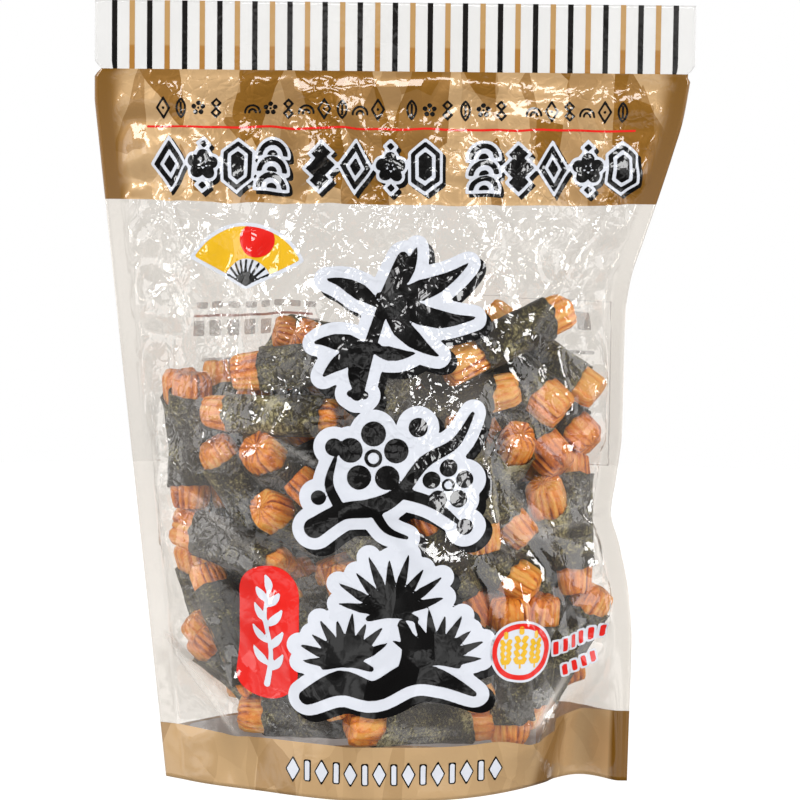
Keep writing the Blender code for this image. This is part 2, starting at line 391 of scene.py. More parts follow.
def baked_cracker(settings):
    """Rice dough baked and brushed with soy sauce: satin glaze, brown in the grooves and where
    it was nearer the fire, drawn out lengthwise in fine fibres, with small pores. Fibres and pores
    are about 1 mm apart, coarser than real ones, so that they show."""
    material, tree = new_material("soy_glazed_rice_cracker")
    own = add_node(tree, "Attribute", attribute_name="own_place").outputs["Vector"]
    toast = add_node(tree, "Attribute", attribute_name="toast").outputs["Fac"]
    patches = add_node(tree, "TexNoise", Vector=own, Scale=190.0, Detail=5.0,
                       Roughness=0.65).outputs["Fac"]
    drawn = add_node(tree, "Mapping", Vector=own, Scale=(1000.0, 1000.0, 170.0))
    fibres = add_node(tree, "TexNoise", Vector=drawn, Scale=1.0, Detail=4.0,
                      Roughness=0.6).outputs["Fac"]
    lines = add_node(tree, "MapRange", Value=fibres, From_Min=0.49, From_Max=0.34, To_Min=0.0,
                     To_Max=0.16)
    parts = add_node(tree, "SeparateXYZ", Vector=own).outputs
    angle = add_node(tree, "Math", operation="ARCTAN2", in_0=parts[1], in_1=parts[0])
    wander = add_node(tree, "Math", operation="MULTIPLY", in_0=patches, in_1=9.0)
    flutes = add_node(tree, "Math", operation="MULTIPLY_ADD", in_0=angle, in_1=13.0, in_2=wander)
    flutes = add_node(tree, "Math", operation="SINE", in_0=flutes)
    flutes = add_node(tree, "MapRange", Value=flutes, From_Min=-0.1, From_Max=1.0, To_Min=0.0,
                      To_Max=0.24)
    lines = add_node(tree, "Math", operation="ADD", in_0=lines, in_1=flutes)
    shade = add_node(tree, "Math", operation="MULTIPLY_ADD", in_0=patches, in_1=1.1, in_2=-0.44)
    shade = add_node(tree, "Math", operation="ADD", in_0=shade, in_1=lines)
    shade = add_node(tree, "Math", operation="ADD", use_clamp=True, in_0=shade, in_1=toast)
    colour = colour_ramp(tree, shade, (0.0, settings.cracker_light), (0.36, settings.cracker_mid),
                         (0.72, settings.cracker_dark), (1.0, "#78380a"))
    relief = add_node(tree, "Math", operation="SUBTRACT", in_0=fibres, in_1=flutes)
    bump = add_node(tree, "Bump", Strength=0.9, Distance=0.7 * MM, Height=relief)
    pores = add_node(tree, "TexVoronoi", Vector=own, Scale=800.0)
    bump = add_node(tree, "Bump", Strength=0.5, Distance=0.35 * MM,
                    Height=pores.outputs["Distance"], Normal=bump)
    shader = add_node(tree, "BsdfPrincipled", Base_Color=colour, Roughness=0.38, IOR=1.45,
                      Normal=bump, Coat_Weight=0.4, Coat_Roughness=0.22, Subsurface_Weight=0.10,
                      Subsurface_Scale=0.002, Subsurface_Radius=(1.0, 0.4, 0.15))
    add_node(tree, "OutputMaterial", Surface=shader)
    return material


def roasted_nori(settings):
    """Roasted nori, pressed from chopped seaweed: black-green, fibrous, with paler flecks where
    the sheet is thin, and a dull sheen. The flecks are about 1 mm wide, coarser than real ones, so
    that they show."""
    material, tree = new_material("roasted_nori_sheet")
    own = add_node(tree, "Attribute", attribute_name="own_place").outputs["Vector"]
    tone = add_node(tree, "Attribute", attribute_name="tone").outputs["Fac"]
    fine = add_node(tree, "TexNoise", Vector=own, Scale=1100.0, Detail=4.0,
                    Roughness=0.8).outputs["Fac"]
    broad = add_node(tree, "TexNoise", Vector=own, Scale=120.0, Detail=3.0).outputs["Fac"]
    chopped = add_node(tree, "Mapping", Vector=own, Rotation=(0.4, 0.2, 0.7),
                       Scale=(650.0, 1000.0, 1400.0))
    fibre = add_node(tree, "TexNoise", Vector=chopped, Scale=1.0, Detail=4.0,
                     Roughness=0.75).outputs["Fac"]
    mixed = add_node(tree, "Math", operation="ADD", in_0=fine, in_1=fibre)
    total = add_node(tree, "Math", operation="MULTIPLY_ADD", in_0=broad, in_1=0.9, in_2=mixed)
    total = add_node(tree, "Math", operation="ADD", in_0=total, in_1=tone)
    spread = add_node(tree, "MapRange", Value=total, From_Min=1.24, From_Max=1.76)
    colour = colour_ramp(tree, spread, (0.0, settings.nori_dark), (0.45, settings.nori_mid),
                         (0.78, settings.nori_fleck), (1.0, "#bdb684"))
    bump = add_node(tree, "Bump", Strength=0.9, Distance=0.4 * MM, Height=mixed)
    shader = add_node(tree, "BsdfPrincipled", Base_Color=colour, Roughness=0.55, Sheen_Weight=0.1,
                      Normal=bump)
    add_node(tree, "OutputMaterial", Surface=shader)
    return material


def lit_floor(settings):
    """White studio sweep, lit from below so that it stays even to its far edge."""
    material, tree = new_material("white_studio_sweep")
    shader = add_node(tree, "BsdfPrincipled", Base_Color=hex_rgba("#8c8c8c"), Roughness=0.9,
                      Emission_Color=(1, 1, 1, 1), Emission_Strength=settings.floor_glow)
    add_node(tree, "OutputMaterial", Surface=shader)
    return material


# =============================== the film's form ===============================

def along(stations, height):
    """Values at heights on a curve through the stations, with no overshoot between them."""
    levels, values = np.array(stations).T
    slope = np.diff(values) / np.diff(levels)
    tangent = np.concatenate([slope[:1], np.zeros(len(slope) - 1), slope[-1:]])
    same = slope[1:] * slope[:-1] > 0
    mean = 2 * slope[1:] * slope[:-1] / np.where(same, slope[1:] + slope[:-1], 1)
    tangent[1:-1] = np.where(same, mean, 0)
    height = np.clip(height, levels[0], levels[-1])
    i = np.clip(np.searchsorted(levels, height, side="right") - 1, 0, len(levels) - 2)
    span = levels[i + 1] - levels[i]
    t = (height - levels[i]) / span
    return ((2 * t**3 - 3 * t**2 + 1) * values[i] + (t**3 - 2 * t**2 + t) * span * tangent[i]
            + (3 * t**2 - 2 * t**3) * values[i + 1] + (t**3 - t**2) * span * tangent[i + 1])


def notch(z):
    return NOTCH_DEPTH * np.clip(1 - np.abs(z - SHOULDER) / NOTCH_HEIGHT, 0, None)


def left_line(z):
    """X of the left side seal's outer edge, the notch left out."""
    share = np.minimum(np.asarray(z) / LEFT_TAPER_TOP, 1)
    return -(LEFT_FOOT + (HEADER_HALF_WIDTH - LEFT_FOOT) * share)


def right_line(z):
    """X of the right side seal's outer edge, the notch left out."""
    return np.where(z > SHOULDER - 0.01 * MM, HEADER_HALF_WIDTH, along(RIGHT_OUTLINE, z))


def left_edge(z):
    return left_line(z) + notch(z)


def right_edge(z):
    return right_line(z) - notch(z)


def edge_distance(x, z):
    """How far in from the nearer outer edge."""
    return np.minimum(x - left_edge(z), right_edge(z) - x)


NOTCH_GIVE = 0.035            # share of the width, at each edge, that gives way to a notch


def grid_lines(z, share):
    """X on every row at the given shares of the width."""
    low, high = left_line(z)[:, None], right_line(z)[:, None]
    give = np.clip(1 - share / NOTCH_GIVE, 0, 1) - np.clip(1 - (1 - share) / NOTCH_GIVE, 0, 1)
    return low + (high - low) * share + notch(z)[:, None] * give


def seam_offset(x, z):
    """How far both films lie behind the seam plane, where the lower corners curve."""
    across = np.clip(1 - ((x - TUCK_MIDDLE) / TUCK_HALF_WIDTH) ** 2, 0, None)
    inner = x - left_edge(z) - SIDE_SEAL
    turn = np.where(inner < 0, 1 + inner / SIDE_SEAL, smooth_step(1 - inner / LEFT_TURN_REACH))
    return (TUCK_DEPTH * across**1.5 - LEFT_TURN * turn) * smooth_step(1 - z / CORNER_HEIGHT)


def panel_depth(side, x, z):
    """Y of a panel's smooth form: side is -1 for the front and 1 for the back."""
    low = left_edge(z) + SIDE_SEAL
    high = right_edge(z) - SIDE_SEAL
    high = high - RIGHT_CORNER_REACH * smooth_step(1 - z / CORNER_HEIGHT)
    u = np.clip(2 * (x - low) / (high - low) - 1, -1, 1)
    foot = np.where(u < 0, LEFT_FOOT_ROUNDNESS, RIGHT_FOOT_ROUNDNESS)
    power = foot + (BODY_ROUNDNESS - foot) * smooth_step(z / ROUNDNESS_HEIGHT)
    reach = along(FRONT_SWELL if side < 0 else BACK_SWELL, z)
    swell = reach * (1 - np.abs(u) ** power)
    return seam_offset(x, z) + side * (FILM_GAP + swell * (z < SHOULDER))


def film_heights(divide=1):
    """Heights of the body's rows, with rows on the printed fields' edges."""
    spans = zip(FIELD_EDGES, FIELD_EDGES[1:], FIELD_ROWS)
    parts = [np.linspace(low, high, rows // divide + 1)[1:] for low, high, rows in spans]
    return np.concatenate([[0.0], *parts])


def row_table():
    """Heights up the film and the row numbers there."""
    return np.append(film_heights(), HEIGHT), np.append(np.arange(BODY_ROWS + 1), TOP_ROW)


def smooth_form(columns, heights):
    """Both panels before they crease: an array (2, rows, columns + 1, 3)."""
    z = np.repeat(heights[:, None], columns + 1, 1)
    x = grid_lines(heights, np.linspace(0, 1, columns + 1))
    return np.stack([np.stack([x, panel_depth(side, x, z), z], -1) for side in (-1, 1)])


def push(points, first, second, rest, loose, give):
    """Moves two sets of points along their joins towards the rest length. A stretched join
    pulls in full; a slack one pushes by its give, which is what makes the film buckle."""
    a, b = points[first], points[second]
    wa, wb = loose[first], loose[second]
    way = b - a
    length = np.sqrt((way * way).sum(-1))
    error = length - rest
    share = np.where(error > 0, 1.0, give) * error / np.maximum(length, 1e-9)
    move = (share[..., None] * way) / np.maximum(wa + wb, 1e-9)
    points[first] += wa * move
    points[second] -= wb * move


def pairs(count, start):
    """Index ranges of every other join, so that no point is in two of them."""
    total = (count - start) // 2
    return slice(start, start + 2 * total, 2), slice(start + 1, start + 1 + 2 * total, 2)


SIDES = ((0, -1), (1, 1))      # place in an array of panels, and which way is out along Y


class Contact:
    """How far out the contents reach, on a 1 mm map of each side."""

    STEP = 1 * MM
    WIDTH, DEPTH = 190, 220

    def __init__(self, points):
        x = (points[:, 0] / self.STEP + self.WIDTH / 2).round().astype(int)
        x = np.clip(x, 3, self.WIDTH - 4)
        z = np.clip((points[:, 2] / self.STEP).round().astype(int), 3, self.DEPTH - 4)
        self.maps = np.full((2, self.DEPTH, self.WIDTH), -1.0)
        for side, way in SIDES:
            np.maximum.at(self.maps[side], (z, x), way * points[:, 1])
            spread = self.maps[side].copy()
            for dz, dx in itertools.product(range(-2, 3), repeat=2):
                if abs(dx) + abs(dz) < 4:
                    spread = np.maximum(spread, np.roll(self.maps[side], (dz, dx), (0, 1)))
            self.maps[side] = spread

    def push_out(self, points, loose, gap=0.35 * MM):
        """Moves film points out to clear the contents."""
        for side, way in SIDES:
            here = points[side]
            x = np.clip(here[..., 0] / self.STEP + self.WIDTH / 2, 0, self.WIDTH - 1.001)
            z = np.clip(here[..., 2] / self.STEP, 0, self.DEPTH - 1.001)
            j, i = x.astype(int), z.astype(int)
            table = self.maps[side]
            out = np.maximum(np.maximum(table[i, j], table[i + 1, j]),
                             np.maximum(table[i, j + 1], table[i + 1, j + 1])) + gap
            lack = np.clip(out - way * here[..., 1], 0, None) * (out > -0.5)
            here[..., 1] += way * lack * loose[side, ..., 0]


def keep_apart(points, loose):
    """Stops the two panels from passing through each other."""
    middle = 0.5 * (points[0, ..., 1] + points[1, ..., 1])
    for side, way in SIDES:
        lack = np.clip(middle * way + FILM_GAP - way * points[side, ..., 1], 0, None)
        points[side, ..., 1] += way * lack * loose[side, ..., 0]


def relax_film(form, across, upward, loose, start, turns, hold, give, stiffness, contact):
    """Lets a film that is wider and longer than its form settle into folds over that form and
    the contents. across and upward are its extra length; loose is 1 where a point may move."""
    every = slice(None)
    rest_x = np.linalg.norm(np.diff(form, axis=2), axis=-1) * (1 + across)
    rest_z = np.linalg.norm(np.diff(form, axis=1), axis=-1) * (1 + upward)
    extra = 1 + 0.25 * (across[:, 1:] + across[:, :-1] + upward[:, :, 1:] + upward[:, :, :-1])
    rest_a = np.linalg.norm(form[:, 1:, 1:] - form[:, :-1, :-1], axis=-1) * extra
    rest_b = np.linalg.norm(form[:, 1:, :-1] - form[:, :-1, 1:], axis=-1) * extra
    rows, columns = form.shape[1:3]
    points = start.copy()
    before = points.copy()
    for _ in range(turns):
        speed = 0.9 * (points - before)
        before = points.copy()
        points += (speed + hold * (form - points)) * loose
        for odd in (0, 1):
            one, two = pairs(columns, odd)
            push(points, (every, every, one), (every, every, two),
                 rest_x[:, :, odd::2][:, :, :(columns - odd) // 2], loose, give)
            one, two = pairs(rows, odd)
            count = (rows - odd) // 2
            push(points, (every, one), (every, two), rest_z[:, odd::2][:, :count], loose, give)
            left, right = slice(None, -1), slice(1, None)
            push(points, (every, one, left), (every, two, right),
                 rest_a[:, odd::2][:, :count], loose, 0.5 * give)
            push(points, (every, one, right), (every, two, left),
                 rest_b[:, odd::2][:, :count], loose, 0.5 * give)
        away = points - form
        for _ in range(2):
            bend = np.zeros_like(away)
            bend[:, 1:-1, 1:-1] = (away[:, 1:-1, 2:] + away[:, 1:-1, :-2] + away[:, 2:, 1:-1]
                                   + away[:, :-2, 1:-1] - 4 * away[:, 1:-1, 1:-1])
            away = bend
        points -= stiffness * away * loose
        keep_apart(points, loose)
        contact.push_out(points, loose)
    return points


def doubled(points):
    """A grid with twice the rows and columns, interpolated between its points."""
    for axis in (1, 2):
        points = np.moveaxis(points, axis, 0)
        between = 0.5 * (points[1:] + points[:-1])
        between[1:-1] = 0.5625 * (points[1:-2] + points[2:-1]) - 0.0625 * (points[:-3] + points[3:])
        wide = np.empty((2 * len(points) - 1, *points.shape[1:]))
        wide[::2], wide[1::2] = points, between
        points = np.moveaxis(wide, 0, axis)
    return points


def patchy(rng, shape, size):
    """Soft random patches about size cells across, with a spread of 1."""
    rows, columns = shape[-2] // size + 3, shape[-1] // size + 3
    coarse = rng.normal(size=(shape[0], rows, columns))
    r = np.linspace(1, rows - 2, shape[-2])
    c = np.linspace(1, columns - 2, shape[-1])
    i, j = r.astype(int), c.astype(int)
    fr, fc = smooth_step(r - i)[:, None], smooth_step(c - j)[None, :]
    top = coarse[:, i][:, :, j] * (1 - fc) + coarse[:, i][:, :, j + 1] * fc
    low = coarse[:, i + 1][:, :, j] * (1 - fc) + coarse[:, i + 1][:, :, j + 1] * fc
    return top * (1 - fr) + low * fr


def film_slack(form, settings):
    """Extra length of the film across and upwards: most under the header, where the flat seal
    turns into the swollen body, and along the side seals, which pucker."""
    x, z = form[..., 0], form[..., 2]
    side = edge_distance(x, z)
    rng = np.random.default_rng(11)
    crumple = 1 + 0.6 * patchy(rng, x.shape, 5)
    upper = 0.4 + 0.6 * smooth_step((z - 95 * MM) / (60 * MM))
    across = settings.slack * smooth_step((SHOULDER - z) / (35 * MM)) * upper * crumple
    pucker = np.exp(-((side - SIDE_SEAL) / (15 * MM)) ** 2)
    upward = (settings.pucker * pucker + 0.45 * settings.slack * upper * crumple)
    upward = upward * smooth_step(z / (20 * MM)) * smooth_step((SHOULDER - z) / (15 * MM))
    return (0.5 * (across[:, :, 1:] + across[:, :, :-1]),
            0.5 * (upward[:, 1:] + upward[:, :-1]), side)


def creased_film(settings, contact):
    """Both panels of the body, creased: relaxed on a coarse grid, then again on a finer one."""
    rng = np.random.default_rng(5)
    turns = ((700, 260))
    points = None
    for level, divide in enumerate((2, 1)):
        form = smooth_form(COLUMNS // divide, film_heights(divide))
        across, upward, side = film_slack(form, settings)
        loose = np.ones(form.shape[:3])
        loose[:, 0] = loose[:, -1] = 0
        loose[side < SIDE_SEAL * 0.99] = 0
        loose = loose[..., None]
        if points is None:
            points = form.copy()
            points[..., 1] += 0.8 * MM * patchy(rng, form.shape[:3], 3) * loose[..., 0]
        else:
            points = form + (doubled(points) - form) * loose
            points[..., 1] += 0.06 * MM * rng.normal(size=form.shape[:3]) * loose[..., 0]
        points = relax_film(form, across, upward, loose, points, turns[level],
                            (0.002, 0.001)[level], 0.8, (0.015, 0.012)[level], contact)
    press_creases(points, loose, settings)
    keep_apart(points, loose)
    contact.push_out(points, loose)
    return points


# x and z of both ends of a long crease, in mm, its half width and its height
LONG_CREASES = (
    (68, 180, 42, 139, 3.4, 1.6), (66, 83, 30, 76, 2.8, 0.9), (-77, 200, -60, 158, 3.6, 1.3),
    (-69, 45, -44, 16, 1.7, 0.6), (55, 38, 43, 18, 1.7, 0.5), (-64, 91, -29, 65, 1.8, 0.5),
    (-40, 110, -12, 96, 1.8, 0.4), (30, 102, 52, 70, 1.8, 0.4), (30, 175, 41, 163, 2.6, 0.6),
    (-30, 176, -62, 120, 2.2, 0.4), (14, 177, 6, 166, 2.4, 0.6), (22, 172, 36, 140, 2.4, 0.5),
    (78, 201, 73, 180, 2.4, 1.1), (-79, 200, -76, 179, 2.2, 1.0),
)
SEALED_CORNERS = slice(3, 5)    # the creases along the gusset's slanting seals


def ridge_line(x, z, crease):
    """Height of one long crease: a ridge that fades at its ends."""
    x0, z0, x1, z1, width, height = (value * MM for value in crease)
    dx, dz = x1 - x0, z1 - z0
    length = math.hypot(dx, dz)
    t = ((x - x0) * dx + (z - z0) * dz) / length**2
    off = np.abs((x - x0) * dz - (z - z0) * dx) / length
    fade = np.sqrt(np.clip(4 * t * (1 - t), 0, 1))
    return height * np.clip(1 - off / width, 0, 1) * fade


def press_creases(points, loose, settings):
    """Presses short straight creases into the film, each a sharp ridge or valley, most of them
    high up where the empty film has been crushed."""
    rng = np.random.default_rng(17)
    for side in (0, 1):
        x, y, z = np.moveaxis(points[side], -1, 0)
        shift = np.zeros_like(y)
        for _ in range(settings.crease_count):
            middle_z = rng.uniform(0.0, 1.0) ** 0.6 * SHOULDER
            high = smooth_step((middle_z - 0.07) / 0.07)
            if rng.random() > 0.25 + 0.75 * high:
                continue
            low, top = left_edge(middle_z), right_edge(middle_z)
            middle_x = rng.uniform(low + SIDE_SEAL, top - SIDE_SEAL)
            angle = rng.uniform(0, math.pi)
            half = rng.uniform(3, 13) * MM
            width = rng.uniform(1.6, 3.4) * MM
            depth = rng.uniform(0.12, 0.42) * MM * rng.choice((-1, 1)) * (0.5 + 0.5 * high)
            along = (x - middle_x) * math.cos(angle) + (z - middle_z) * math.sin(angle)
            across = (z - middle_z) * math.cos(angle) - (x - middle_x) * math.sin(angle)
            share = np.clip(1 - np.abs(across) / width, 0, 1)
            shift += depth * share * np.clip(1 - (along / half) ** 2, 0, 1)
        for crease in LONG_CREASES:
            mirrored = (-crease[0], crease[1], -crease[2], *crease[3:])
            shift += (1 if side else -1) * ridge_line(x, z, mirrored if side else crease)
        points[side, ..., 1] += shift * loose[side, ..., 0]


def film_panels(settings, contact):
    """Front and back films from the ground to the header's top: (2, rows, columns + 1, 3)."""
    body = creased_film(settings, contact)
    heights = np.linspace(SHOULDER, HEIGHT, HEADER_ROWS + 1)[1:]
    header = smooth_form(COLUMNS, heights)
    rise = (header[..., 2] - SHOULDER) / HEADER_HEIGHT
    header[..., 1] += 0.5 * MM * np.sin(header[..., 0] / (17 * MM)) * rise
    return np.concatenate([body, header], 1)


class Film:
    """The creased panels, for whatever lies on them or inside them."""

    panels = None

    @classmethod
    def place(cls, side, x, z, lift=0.0):
        """Points on the film at x and z of its smooth form, raised outwards by lift."""
        grid = cls.panels[0 if side < 0 else 1]
        low, high = left_line(z), right_line(z)
        column = np.clip((x - low) / (high - low), 0, 1) * COLUMNS
        row = np.interp(z, *row_table())
        j = np.clip(column.astype(int), 0, COLUMNS - 1)
        i = np.clip(row.astype(int), 0, TOP_ROW - 1)
        fj, fi = (column - j)[..., None], (row - i)[..., None]
        a, b, c, d = grid[i, j], grid[i, j + 1], grid[i + 1, j], grid[i + 1, j + 1]
        point = (a * (1 - fj) + b * fj) * (1 - fi) + (c * (1 - fj) + d * fj) * fi
        if lift:
            across = (b - a) * (1 - fi) + (d - c) * fi
            up = (c - a) * (1 - fj) + (d - b) * fj
            normal = np.cross(across, up) * (-side)
            normal /= np.linalg.norm(normal, axis=-1, keepdims=True)
            normal *= np.where(normal[..., 1:2] * side < 0, -1, 1)
            point = point + lift * normal
        return point


GUSSET_MARK = 100 * MM        # stands for the gusset's print height: as clear as the window


def build_film(settings, contents):
    """The closed pouch of film: both panels, the header's top edge and the gusset below."""
    contact = Contact(np.concatenate([mesh_arrays(piece)[0] for piece in contents]))
    Film.panels = film_panels(settings, contact)
    front, back = Film.panels
    ring = np.concatenate([front, back[:, ::-1], front[:, :1]], 1)
    wall = grid_sheet("film_wall", ring)
    heights = np.append(film_heights(), np.linspace(SHOULDER, HEIGHT, HEADER_ROWS + 1)[1:])
    paint_values(wall, "print_height", np.repeat(heights, ring.shape[1]))
    top = grid_sheet("film_top", np.stack([front[-1], back[-1]]))
    paint_values(top, "print_height", np.full(len(top.data.vertices), HEIGHT))
    share = np.linspace(0, 1, GUSSET_ROWS + 1)[:, None]
    base = front[0][None] * (1 - share[..., None]) + back[0][None] * share[..., None]
    depth = np.linalg.norm(back[0] - front[0], axis=-1)[None]
    arch = 1 - np.abs(2 * share - 1) ** 1.6
    base[..., 2] += GUSSET_ARCH * arch * smooth_step(depth / (30 * MM))
    for end in (0, -1):
        base[:, end] = np.where(share < 0.5, front[0, end], back[0, end])
    gusset = grid_sheet("film_gusset", base)
    marks = np.where(np.abs(share - 0.5) < 0.46, GUSSET_MARK, 0) * np.ones_like(depth)
    marks[:, (0, -1)] = 0
    paint_values(gusset, "print_height", marks)
    film = join("pouch_film", wall, top, gusset)
    edit(film, lambda: bpy.ops.mesh.dissolve_degenerate(threshold=1e-6),
         lambda: bpy.ops.mesh.normals_make_consistent(inside=False))
    film.data.shade_smooth()
    return film


def free_share(x, z):
    """1 where the film hangs free enough to break into broad facets, 0 on the seals."""
    side = edge_distance(x, z)
    body = smooth_step((side - 6 * MM) / (3 * MM)) * smooth_step((SHOULDER - z) / (4 * MM))
    return body * (0.55 + 0.45 * smooth_step((z - 4 * MM) / (30 * MM)))


def flush_share(x, z):
    """Share of painted reflection of the table on the gold: the lower band lies back and takes light
    from the table, so its gold is painted paler there, except on the right seal and in the fold where
    the corner turns back."""
    seal = smooth_step((right_edge(z) - 5 * MM - x) / (1.5 * MM))
    fold = np.exp(-((x - 49.5 * MM - 0.2 * (z - 11 * MM)) / (3.3 * MM)) ** 4)
    corner = smooth_step((x - 53 * MM) / (2 * MM))
    return ((0.85 + 0.6 * corner) * smooth_step((30 * MM - z) / (8 * MM)) * (z < 40 * MM) * seal
            * (1 - 0.9 * fold))


def crush_share(x, z):
    """How crushed the film is: most in the empty upper part, hardly at all on the seals. The gold ink
    paints its highlights where this is high and its painted dark reflection where it is low.
    """
    side = edge_distance(x, z)
    body = smooth_step((z - 60 * MM) / (60 * MM)) * 0.80 + 0.20
    body = body * smooth_step((side - 4 * MM) / (6 * MM))
    body = body * (1 - 0.38 * smooth_step((z - UPPER_BAND_LOW + 1 * MM) / (2 * MM)))
    near = sum(ridge_line(x, z, (*crease[:4], 8, 1)) / MM for crease in LONG_CREASES)
    body = body * (0.85 + 0.5 * np.clip(near, 0, 1))
    middle = np.exp(-(x / (55 * MM)) ** 2) * 0.22 + 0.04
    return np.where(z > SHOULDER, middle, body)


def paint_values(piece, name, values):
    """Stores a number on each of a piece's points."""
    layer = piece.data.attributes.new(name, "FLOAT", "POINT")
    layer.data.foreach_set("value", np.ravel(values).astype(np.float32))


def paint_points(piece, **layers):
    """Stores numbers on a piece's points, each from a function of x and z."""
    co = mesh_arrays(piece)[0]
    for name, values in layers.items():
        paint_values(piece, name, values(co[:, 0], co[:, 2]))


def haze_share(x, z):
    """Extra haze: near the side seals, towards the foot, where the sealed corners begin, and
    in thin white lines along the long creases."""
    side = edge_distance(x, z)
    edge = np.exp(-(np.clip(side, 0, None) / (19 * MM)) ** 2)
    low = smooth_step((75 * MM - z) / (75 * MM))
    sealed = LONG_CREASES[SEALED_CORNERS]
    lines = sum(ridge_line(x, z, crease) / MM for crease in sealed)
    corners = sum(ridge_line(x, z, (*crease[:4], 11, 1)) / MM for crease in sealed)
    thin = sum(ridge_line(x, z, (*crease[:4], 1.1, 1)) / MM for crease in LONG_CREASES)
    return (0.08 * edge + 0.012 * low + 0.05 * (side < SIDE_SEAL) * edge + 0.5 * lines
            + 0.12 * corners + 0.20 * thin)



def paint_fields(film):
    """Printed fields by height: 0 clear window and gusset, 1 gold bands, 2 white header."""
    mesh = film.data
    height = np.empty(len(mesh.vertices), np.float32)
    mesh.attributes["print_height"].data.foreach_get("value", height)
    corner = np.empty(len(mesh.loops), np.int32)
    mesh.loops.foreach_get("vertex_index", corner)
    first, total = np.empty(len(mesh.polygons), np.int32), np.empty(len(mesh.polygons), np.int32)
    mesh.polygons.foreach_get("loop_start", first)
    mesh.polygons.foreach_get("loop_total", total)
    z = np.add.reduceat(height[corner], first) / total
    centre = np.empty(len(mesh.polygons) * 3, np.float32)
    mesh.polygons.foreach_get("center", centre)
    x = centre.reshape(-1, 3)[:, 0]
    band = np.where(x > CORNER_BAND_SIDE, CORNER_BAND_HIGH, LOWER_BAND_HIGH)
    kind = np.where(z > SHOULDER, 2, np.where((z > UPPER_BAND_LOW) | (z < band), 1, 0))
    mesh.polygons.foreach_set("material_index", kind.astype(np.int32))


# =============================== print ===============================
# Every shape is a distance function of x and z on the smooth front view, negative inside.

def union(shapes):
    """Distance to the nearest of several shapes."""
    return functools.reduce(np.minimum, shapes)


def blob(x, z, cx, cz, radius):
    return np.hypot(x - cx, z - cz) - radius


def bar(x, z, cx, cz, half_width, half_height, turn=0.0, corner=0.0):
    """A rectangle, turned by an angle, with rounded corners."""
    c, s = math.cos(turn), math.sin(turn)
    u, v = (x - cx) * c + (z - cz) * s, (z - cz) * c - (x - cx) * s
    a, b = np.abs(u) - half_width + corner, np.abs(v) - half_height + corner
    outside = np.hypot(np.maximum(a, 0), np.maximum(b, 0))
    return outside + np.minimum(np.maximum(a, b), 0) - corner


def bars_in_mm(x, z, bars):
    """Rectangles by their x, z, half width and half height in mm, then perhaps their turn and
    their corners' radius in mm."""
    shapes = []
    for cx, cz, half_width, half_height, *more in bars:
        turn, corner = (*more, 0.0, 0.0)[:2]
        shapes.append(bar(x, z, cx * MM, cz * MM, half_width * MM, half_height * MM, turn, corner * MM))
    return union(shapes)


def stroke(x, z, points, widths):
    """A brush stroke along points, with a half width at each."""
    parts = []
    for (x0, z0), (x1, z1), w0, w1 in zip(points, points[1:], widths, widths[1:]):
        dx, dz = x1 - x0, z1 - z0
        t = np.clip(((x - x0) * dx + (z - z0) * dz) / (dx * dx + dz * dz + 1e-12), 0, 1)
        parts.append(np.hypot(x - x0 - t * dx, z - z0 - t * dz) - (w0 + (w1 - w0) * t))
    return union(parts)


def print_mesh(name, side, box, distance, lift, steps=2):
    """A sheet over the film wherever distance(x, z) is negative, cut from the film's own grid
    with steps cells to each of its cells. box is x and z of the region's corners."""
    x0, z0, x1, z1 = box
    columns = np.arange(0, COLUMNS * steps + 1) / steps
    rows = np.arange(0, TOP_ROW * steps + 1) / steps
    z = np.interp(rows, *row_table()[::-1])
    z = z[(z >= z0) & (z <= z1)]
    x = grid_lines(z, columns / COLUMNS)
    keep = (x.max(0) >= x0) & (x.min(0) <= x1)
    x = x[:, keep]
    z = np.repeat(z[:, None], x.shape[1], 1)
    away = distance(x, z)
    away = np.where(np.abs(away) < 1e-7, -1e-7, away)
    inside = away < 0
    rows, columns = inside.shape
    order = np.full(inside.shape, -1)
    order[inside] = np.arange(inside.sum())
    px, pz = list(x[inside]), list(z[inside])
    corners = inside[:-1, :-1].astype(int) + inside[:-1, 1:] + inside[1:, 1:] + inside[1:, :-1]
    full = np.argwhere(corners == 4)
    i, j = full[:, 0], full[:, 1]
    faces = np.stack([order[i, j], order[i, j + 1], order[i + 1, j + 1], order[i + 1, j]], 1).tolist()
    cut = {}
    for i, j in np.argwhere((corners > 0) & (corners < 4)):
        loop = ((i, j), (i, j + 1), (i + 1, j + 1), (i + 1, j))
        face = []
        for here, there in zip(loop, loop[1:] + loop[:1]):
            if inside[here]:
                face.append(int(order[here]))
            if inside[here] != inside[there]:
                key = (here, there) if here < there else (there, here)
                if key not in cut:
                    (a, b), (fa, fb) = key, (away[key[0]], away[key[1]])
                    t = min(max(fa / (fa - fb), 0.03), 0.97)
                    cut[key] = len(px)
                    px.append(x[a] + (x[b] - x[a]) * t)
                    pz.append(z[a] + (z[b] - z[a]) * t)
                face.append(cut[key])
        faces.append(face)
    points = Film.place(side, np.array(px), np.array(pz), lift)
    if side > 0:
        faces = [face[::-1] for face in faces]
    piece = mesh_piece(name, points, faces)
    paint_points(piece, crush=crush_share, free=free_share)
    return piece


STRIPES = 33
STRIPE_PITCH = 5.254 * MM
STRIPE_HALF = 0.8 * MM
LIFTS = (0.06 * MM, 0.13 * MM, 0.20 * MM)   # ink layers, from the film outwards


def stripes(x, z, first):
    """Every other one of the header's upright stripes."""
    index = np.round(x / STRIPE_PITCH)
    index = np.where((index + (STRIPES - 1) // 2 - first) % 2 == 0, index,
                     index + np.where(x / STRIPE_PITCH > index, 1, -1))
    limit = (STRIPES - 1) // 2
    return np.where(np.abs(index) > limit, 1.0, np.abs(x - index * STRIPE_PITCH) - STRIPE_HALF)


